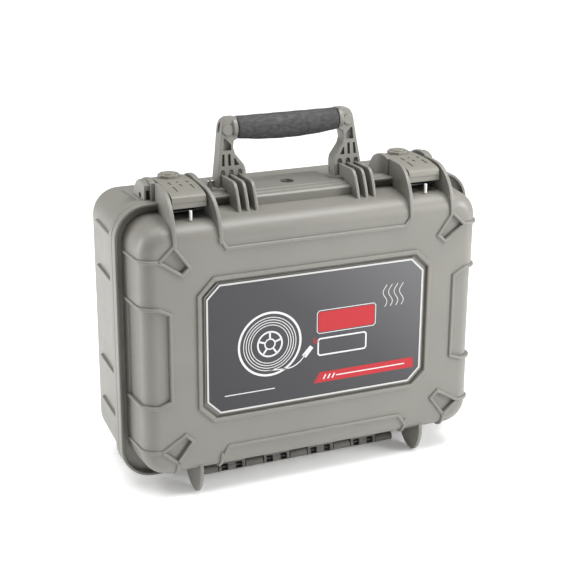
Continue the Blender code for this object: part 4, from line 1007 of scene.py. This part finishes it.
def make_handle():
    low = HANDLE_Y - 8.5
    high = HANDLE_Y + 8.5
    arms = [prism("handle_moulding", "Y", low, high, handle_arm_outline(side), 1.3) for side in (1, -1)]
    parts = [rod("core", "X", -66.0, 66.0, 7.0, (HANDLE_Y, GRIP_Z))]
    holes = []
    for side in (-1, 1):
        collar = [(11.9, 62.0), (12.5, 62.6), (12.5, 66.4), (11.6, 67.6), (9.2, 68.6)]
        collar = [(radius, side * along) for radius, along in collar]
        parts.append(dome("collar", "X", (HANDLE_Y, GRIP_Z), collar))
        parts.append(rod("stud", "Y", low - 1.8, high + 1.8, 6.2, (side * 73.6, 398.0), 1.0, 32))
        for middle in COMB_FINS:
            slot_low = side * middle - COMB_THICK / 2 - 0.9
            slot_high = slot_low + COMB_THICK + 1.8
            arch = [(slot_low, 333.0), (slot_high, 333.0)]
            centre_x = (slot_low + slot_high) / 2
            arch += [(centre_x + (slot_high - centre_x) * math.cos(t), 351.4 + 2.9 * math.sin(t))
                     for t in np.linspace(0.0, math.pi, 9)]
            holes.append(prism("slot", "Y", low - 1.0, high + 1.0, arch))
        for line in pocket_shapes(side):
            holes.append(prism("pocket", "Y", low - 1.0, low + 5.0, line))
            holes.append(prism("pocket", "Y", high - 5.0, high + 1.0, line))
        turns = np.linspace(0, 2 * math.pi, 25)[:-1]
        oval = [(HANDLE_Y + 3.0 * math.cos(t), 400.5 + 6.0 * math.sin(t)) for t in turns]
        holes.append(plate_beside("oval", side, 76.5, 90.0, oval))
    frame_piece = join(arms[0], [parts[0], arms[1]] + parts[1:])
    holes.append(rod("bore", "X", -98.0, 98.0, 2.5, HANDLE_PIVOT, steps=24))
    cut(frame_piece, holes)
    grip = make_grip()
    lean([frame_piece, grip])
    finish(frame_piece, "case_plastic", "handle", "handle_frame")
    finish(grip, "grip_rubber", "handle", "handle_grip", sharp=50.0)


# each fold's place along the grip and its slant
FOLDS = [(-44.0, 0.28), (-16.0, -0.32), (-9.0, 0.3), (20.0, -0.28), (38.0, 0.2)]


def make_grip():
    """A rubber sleeve, slightly fuller in the middle below, with folds moulded across its front."""
    rings = []
    turns = [2 * math.pi * i / 64 for i in range(64)]
    stations = [0.0, 0.008, 0.02] + [0.02 + 0.96 * i / 60 for i in range(1, 60)] + [0.98, 0.992, 1.0]
    for t in stations:
        x = -GRIP_HALF_LENGTH + 2 * GRIP_HALF_LENGTH * t
        ends = min(t, 1 - t)
        trim = 0.9 * max(0.0, 1 - ends / 0.012) ** 2
        belly = GRIP_BELLY * (1 - (2 * t - 1) ** 2)
        ring = []
        for turn in turns:
            fold = 0.0
            for middle, slant in FOLDS:
                offset = x - middle - slant * 13.0 * math.sin(turn)
                fold -= 0.5 * math.exp(-(offset / 1.3) ** 2) * max(0.0, -math.cos(turn)) ** 0.5
            radius = GRIP_RADIUS - 0.45 - trim + fold + 0.25 * math.sin(x * 0.13 + 2 * turn) ** 2
            rise = radius * math.sin(turn) - belly * max(0.0, -math.sin(turn))
            ring.append((x, HANDLE_Y + radius * math.cos(turn), GRIP_Z + rise))
        rings.append(ring)
    bore = circle(7.3, (HANDLE_Y, GRIP_Z), 64)
    inner = [[place("X", x, pair) for pair in bore] for x in (GRIP_HALF_LENGTH, -GRIP_HALF_LENGTH)]
    return loft("grip_sleeve", rings + inner, closed=True)


# ======== label ========

LABEL_BACK = LABEL_HIGH.y
LABEL_FACE = LABEL_LOW.y + 0.25
LABEL_INK = LABEL_LOW.y + 0.12
LABEL_OVERPRINT = LABEL_INK - 0.05


def sheet_piece(name, outline, finish_name, front=LABEL_INK, bevel=0.0):
    """A flat shape on the lid's face, as (x, z) about the label's centre."""
    made = prism(name, "Y", front, LABEL_BACK, about_label(outline), bevel)
    return finish(made, finish_name, "lid", slot="label_print")


def ribbon(name, line, width, finish_name, closed=False, front=LABEL_INK):
    """A printed line of even width."""
    half = width / 2
    low = FACE_Y - LABEL_BACK
    high = FACE_Y - front
    profile = [(-half, low), (-half, high), (half, high), (half, low)]
    made = sweep(name, face_frames(line, closed), profile, closed=closed)
    return finish(made, finish_name, "lid", slot="label_print")


def bar(left, bottom, right, top, amount):
    """A rectangle with cut corners."""
    return chamfered([(left, bottom), (right, bottom), (right, top), (left, top)], amount)


def make_label():
    """A charcoal plate with a silver border, a wire-spool picture, plain bars and a red stripe."""
    outline = octagon(LABEL_HALF_WIDTH, LABEL_HALF_HEIGHT, LABEL_CHAMFER)
    backing = sheet_piece("label_backing", outline, "label_dark", LABEL_FACE, 0.15)
    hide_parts("label_plate")
    border = octagon(LABEL_HALF_WIDTH - 1.4, LABEL_HALF_HEIGHT - 1.4, LABEL_CHAMFER - 0.6)
    ribbon("label_border", border, 2.0, "label_silver", True)
    make_spool_picture()
    sheet_piece("label_red_bar", bar(1.0, 3.0, 71.0, 27.0, 2.0), "label_red")
    ribbon("label_red_edge", bar(-0.6, 1.4, 72.6, 28.6, 2.6), 0.8, "label_white", True)
    ribbon("label_white_bar", bar(1.0, -25.0, 61.0, -5.0, 2.0), 1.8, "label_white", True)
    for number, across in enumerate((84.0, 91.0, 98.0, 105.0)):
        wave = [(across + 2.6 * math.sin(i * 0.42), 22.0 + i * 1.55) for i in range(18)]
        ribbon("label_wave_%d" % (number + 1), wave, 0.9, "label_silver")
    stripe = [(-4.0, -58.5), (3.5, -46.0), (121.0, -46.0), (123.5, -49.0), (123.5, -58.5)]
    sheet_piece("label_red_stripe", stripe, "label_red")
    line = [(24.0, -52.3), (112.0, -52.3)]
    ribbon("label_stripe_line", line, 1.3, "label_white", front=LABEL_OVERPRINT)
    for number, start in enumerate((8.0, 13.5, 19.0)):
        tick = [(start, -55.0), (start + 3.0, -49.6)]
        ribbon("label_tick_%d" % (number + 1), tick, 1.6, "label_white", front=LABEL_OVERPRINT)
    ribbon("label_foot_line", [(-112.0, -56.0), (-52.0, -56.0)], 1.1, "label_white")


def chamfered(line, amount):
    """Cuts the corners of a closed line."""
    result = []
    for i, corner in enumerate(line):
        for other in (line[i - 1], line[(i + 1) % len(line)]):
            length = math.dist(corner, other)
            result.append((corner[0] + (other[0] - corner[0]) * amount / length,
                           corner[1] + (other[1] - corner[1]) * amount / length))
    return result


def make_spool_picture():
    """A reel of wire that runs out to the right, in white line work."""
    centre = (-58.0, -2.0)
    reel_rings = ((37.0, 2.6), (31.5, 0.9), (28.5, 0.9), (25.5, 0.9), (22.5, 0.9), (14.5, 2.0), (6.0, 1.6))
    for number, (radius, width) in enumerate(reel_rings):
        ring = arc(centre, radius, 0, 360, 72)[:-1]
        ribbon("label_reel_%d" % (number + 1), ring, width, "label_white", True)
    for number in range(5):
        spoke = [polar(centre, r, math.radians(90.0 + 72.0 * number)) for r in (6.4, 14.0)]
        ribbon("label_spoke_%d" % (number + 1), spoke, 2.2, "label_white")
    wire = smooth_line([(-58.0, -33.5), (-45.0, -34.2), (-32.0, -34.0), (-22.0, -29.0), (-15.0, -21.0)], 8)
    ribbon("label_wire", wire, 1.2, "label_white")
    sheet_piece("label_nozzle", [(-19.0, -21.5), (-14.2, -25.5), (-5.0, -14.5), (-9.0, -11.0)], "label_white")
    for number, aim in enumerate((20.0, 50.0, 80.0)):
        spark = [polar((-5.5, -10.5), r, math.radians(aim)) for r in (2.5, 8.0)]
        ribbon("label_spark_%d" % (number + 1), spark, 1.0, "label_red")


# ======== inside ========

def refine(name, body, finish_name, bevel=0.4, slot=None):
    """A finer copy of a CAD node: its long edges rounded and its faces shaded smooth."""
    source = frame["nodes"][name]
    work = bmesh.new()
    work.from_mesh(source.data)
    bmesh.ops.remove_doubles(work, verts=work.verts, dist=0.001 * METRES)
    bmesh.ops.dissolve_limit(work, angle_limit=math.radians(1.0), verts=work.verts, edges=work.edges)
    mesh = bpy.data.meshes.new(name + "_fine")
    work.to_mesh(mesh)
    work.free()
    piece = bpy.data.objects.new(name + "_fine", mesh)
    bpy.context.scene.collection.objects.link(piece)
    piece.matrix_world = source.matrix_world.copy()
    if bevel:
        soften = piece.modifiers.new("soften", "BEVEL")
        soften.width = bevel * METRES
        soften.segments = 2
        soften.limit_method = "ANGLE"
        soften.angle_limit = math.radians(40)
    return finish(piece, finish_name, body, name, slot=slot)


def make_valve():
    centre = ((VALVE_LOW.x + VALVE_HIGH.x) / 2, (VALVE_LOW.y + VALVE_HIGH.y) / 2)
    radius = (VALVE_HIGH.x - VALVE_LOW.x) / 2
    low = VALVE_LOW.z
    profile = [(radius, low), (radius, low + 1.3), (radius - 0.5, low + 1.8), (radius - 1.6, low + 1.9),
               (radius - 2.2, low + 1.2), (radius - 3.0, low + 1.2), (radius - 3.4, low + 1.7),
               (0.5, low + 2.1)]
    cap = dome("valve_cap", "Z", centre, profile)
    cut(cap, [box("slit", (-5.0, -0.7, low + 1.0), (5.0, 0.7, low + 3.0))])
    finish(cap, "black_plastic", "case", "pressure_valve")


def make_winding():
    """Layers of thin wire laid side by side on the reel, ending at the flange."""
    low, high = corners("wire_winding")
    outer = (high.z - low.z) / 2
    pitch = 1.2
    count = int((high.y - low.y) / pitch)
    profile = [(52.6, low.y)]
    for i in range(count * 4 + 1):
        along = low.y + (high.y - low.y) * i / (count * 4)
        profile.append((outer - 0.75 + 0.6 * abs(math.sin(math.pi * i / 4)), along))
    profile.append((52.6, high.y))
    wound = turned("wound_wire", "Y", SPOOL, profile, 120)
    finish(wound, "wound_wire", "spool", "wire_winding", slot="steel", sharp=80.0)


def make_reel():
    """The reel's two flanges with raised rims, spokes and lightening windows."""
    low, high = corners("wire_spool")
    radius = (high.z - low.z) / 2
    flange = [(26.0, 0.35), (26.6, 0.0), (33.0, 0.0), (33.6, 1.0), (radius - 4.6, 1.0), (radius - 4.0, 0.0),
              (radius - 0.5, 0.0), (radius, 0.5), (radius, 2.6), (radius - 0.4, 3.0), (52.0, 3.0)]
    profile = [(r, low.y + depth) for r, depth in flange] + [(r, high.y - depth) for r, depth in flange[::-1]]
    reel = turned("reel", "Y", SPOOL, profile, 96)
    ribs = []
    holes = []
    for number in range(6):
        outline = radial_strip(SPOOL, math.radians(60.0 * number + 30.0), 32.0, radius - 3.0, 1.6)
        for face, inward in ((low.y, 1), (high.y, -1)):
            ends = sorted((face + 0.1 * inward, face + 2.0 * inward))
            ribs.append(prism("spoke", "Y", ends[0], ends[1], outline, 0.2))
        middle = math.radians(60.0 * number)
        window = []
        for r, start, end in ((58.0, -15.0, 15.0), (79.0, 18.0, -18.0)):
            window += [polar(SPOOL, r, middle + math.radians(a)) for a in np.linspace(start, end, 7)]
        holes.append(prism("window", "Y", low.y - 1.0, low.y + 3.1, window))
    join(reel, ribs)
    cut(reel, holes)
    finish(reel, "black_plastic", "spool", "wire_spool")


def fluted(name, axis, centre, radius, profile, flutes, depth):
    """A turned knob whose rim is cut by evenly spaced finger grooves."""
    steps = flutes * 8
    rings = []
    for scale, along in profile:
        ring = []
        for i in range(steps):
            turn = 2 * math.pi * i / steps
            r = radius * scale - depth * scale * max(0.0, math.cos(flutes * turn)) ** 2
            ring.append(place(axis, along, polar(centre, r, turn)))
        rings.append(ring)
    return loft(name, rings)


def make_knobs():
    low, high = corners("speed_knob")
    centre = (KNOB_X, CONTROLS_Z)
    radius = (high.x - low.x) / 2
    profile = [(0.99, 13.4), (1.0, 12.8), (1.0, 9.0), (0.9, 8.4), (0.84, -0.6), (0.8, -1.5), (0.72, -2.0),
               (0.02, -1.8)]
    knob = fluted("speed_dial", "Y", centre, radius, profile, 18, 1.0)
    pointer_low = (KNOB_X - 0.8, -3.1, CONTROLS_Z + 2.0)
    pointer = box("pointer", pointer_low, (KNOB_X + 0.8, -1.2, CONTROLS_Z + 12.5), 0.3)
    stem = rod("stem", "Y", 13.0, 22.0, 3.0, centre)
    join(knob, [pointer, stem])
    finish(knob, "black_plastic", "speed_knob", "speed_knob")
    low, high = corners("tension_knob")
    centre = ((low.x + high.x) / 2, (low.y + high.y) / 2)
    profile = [(0.78, low.z), (0.84, low.z + 0.6), (0.98, low.z + 2.2), (1.0, high.z - 3.0),
               (0.92, high.z - 0.9), (0.8, high.z), (0.24, high.z)]
    knob = fluted("tension_grip", "Z", centre, (high.x - low.x) / 2, profile, 12, 0.9)
    cut(knob, [rod("bore", "Z", low.z - 1.0, high.z + 1.0, 2.3, centre, steps=20)])
    finish(knob, "black_plastic", "tension_knob", "tension_knob")
    low, high = corners("spool_nut")
    profile = [(0.9, high.y), (0.93, high.y - 0.5), (1.0, high.y - 2.0), (1.0, low.y + 2.0),
               (0.95, low.y + 0.4), (0.9, low.y), (0.5, low.y + 0.2)]
    nut = fluted("spool_lock", "Y", SPOOL, (high.x - low.x) / 2, profile, 8, 2.2)
    cut(nut, [rod("bore", "Y", low.y - 1.0, high.y + 1.0, 8.3, SPOOL, steps=40)])
    finish(nut, "black_plastic", "spool", "spool_nut")


def make_dial_marks():
    """Plain tick marks round the speed knob, printed on the pod."""
    front = corners("control_pod")[0].y
    for number in range(11):
        outer = 22.5 if number % 5 == 0 else 21.0
        turn = math.radians(225.0 - 27.0 * number)
        outline = radial_strip((KNOB_X, CONTROLS_Z), turn, 18.5, outer, 0.5)
        tick = prism("dial_tick_%d" % (number + 1), "Y", front - 0.1, front + 0.3, outline)
        finish(tick, "label_white", "case", slot="label_print")


def make_board():
    """Small parts standing on the control board: chips, capacitors and a relay."""
    high = corners("control_board")[1]
    refine("control_board", "case", "board", 0.15)
    chips = [((52.0, 276.0), (12.0, 12.0), 3.0), ((80.0, 268.0), (18.0, 9.0), 2.2),
             ((108.0, 276.0), (14.0, 16.0), 9.0), ((60.0, 235.0), (20.0, 15.0), 12.0),
             ((96.0, 232.0), (9.0, 9.0), 2.0), ((125.0, 240.0), (16.0, 22.0), 10.0)]
    for number, (middle, size, tall) in enumerate(chips):
        chip = box("board_part_%d" % (number + 1), (middle[0] - size[0] / 2, high.y, middle[1] - size[1] / 2),
                   (middle[0] + size[0] / 2, high.y + tall, middle[1] + size[1] / 2), 0.3)
        finish(chip, "black_plastic", "case")
    profile = [(5.0, 0.0), (5.0, 11.0), (4.6, 11.6), (3.6, 11.8), (0.5, 11.8)]
    profile = [(radius, high.y + up) for radius, up in profile]
    for number, middle in enumerate(((58.0, 208.0), (72.0, 208.0), (120.0, 208.0))):
        can = dome("board_can_%d" % (number + 1), "Y", middle, profile, 32)
        finish(can, "aluminium", "case")


BODIES = {node: body for body, nodes in frame["record"]["behaviour"]["bodies"].items() for node in nodes}
SLOTS = {part["node"]: part["material_slot"] for part in frame["record"]["subparts"]}
PLAIN_BEVEL = {"feed_wire": 0.0, "tension_spring": 0.0, "inlet_guide": 0.3, "outlet_guide": 0.3, "gearbox": 1.4,
               "drive_motor": 1.2, "control_pod": 2.0, "contactor": 0.8, "deck_plate": 0.6, "feed_plate": 0.9,
               "pressure_arm": 0.8, "gun_socket": 1.0, "power_socket_positive": 1.0,
               "power_socket_negative": 1.0}


def refine_rest():
    """Every CAD node that has no piece of its own yet gets a finer copy."""
    for node, body in BODIES.items():
        if frame["nodes"][node].hide_render:
            continue
        slot_name = SLOTS[node]
        finish_name = "dark_steel" if node.startswith(("keeper_pin", "hinge_pin")) else slot_name
        refine(node, body, finish_name, PLAIN_BEVEL.get(node, 0.4), slot_name)


def main():
    set_camera()
    set_studio()
    make_floor()
    make_lid()
    make_base()
    make_latch(-1, "left")
    make_latch(1, "right")
    make_handle()
    make_label()
    make_valve()
    make_winding()
    make_reel()
    make_knobs()
    make_dial_marks()
    make_board()
    refine_rest()


main()
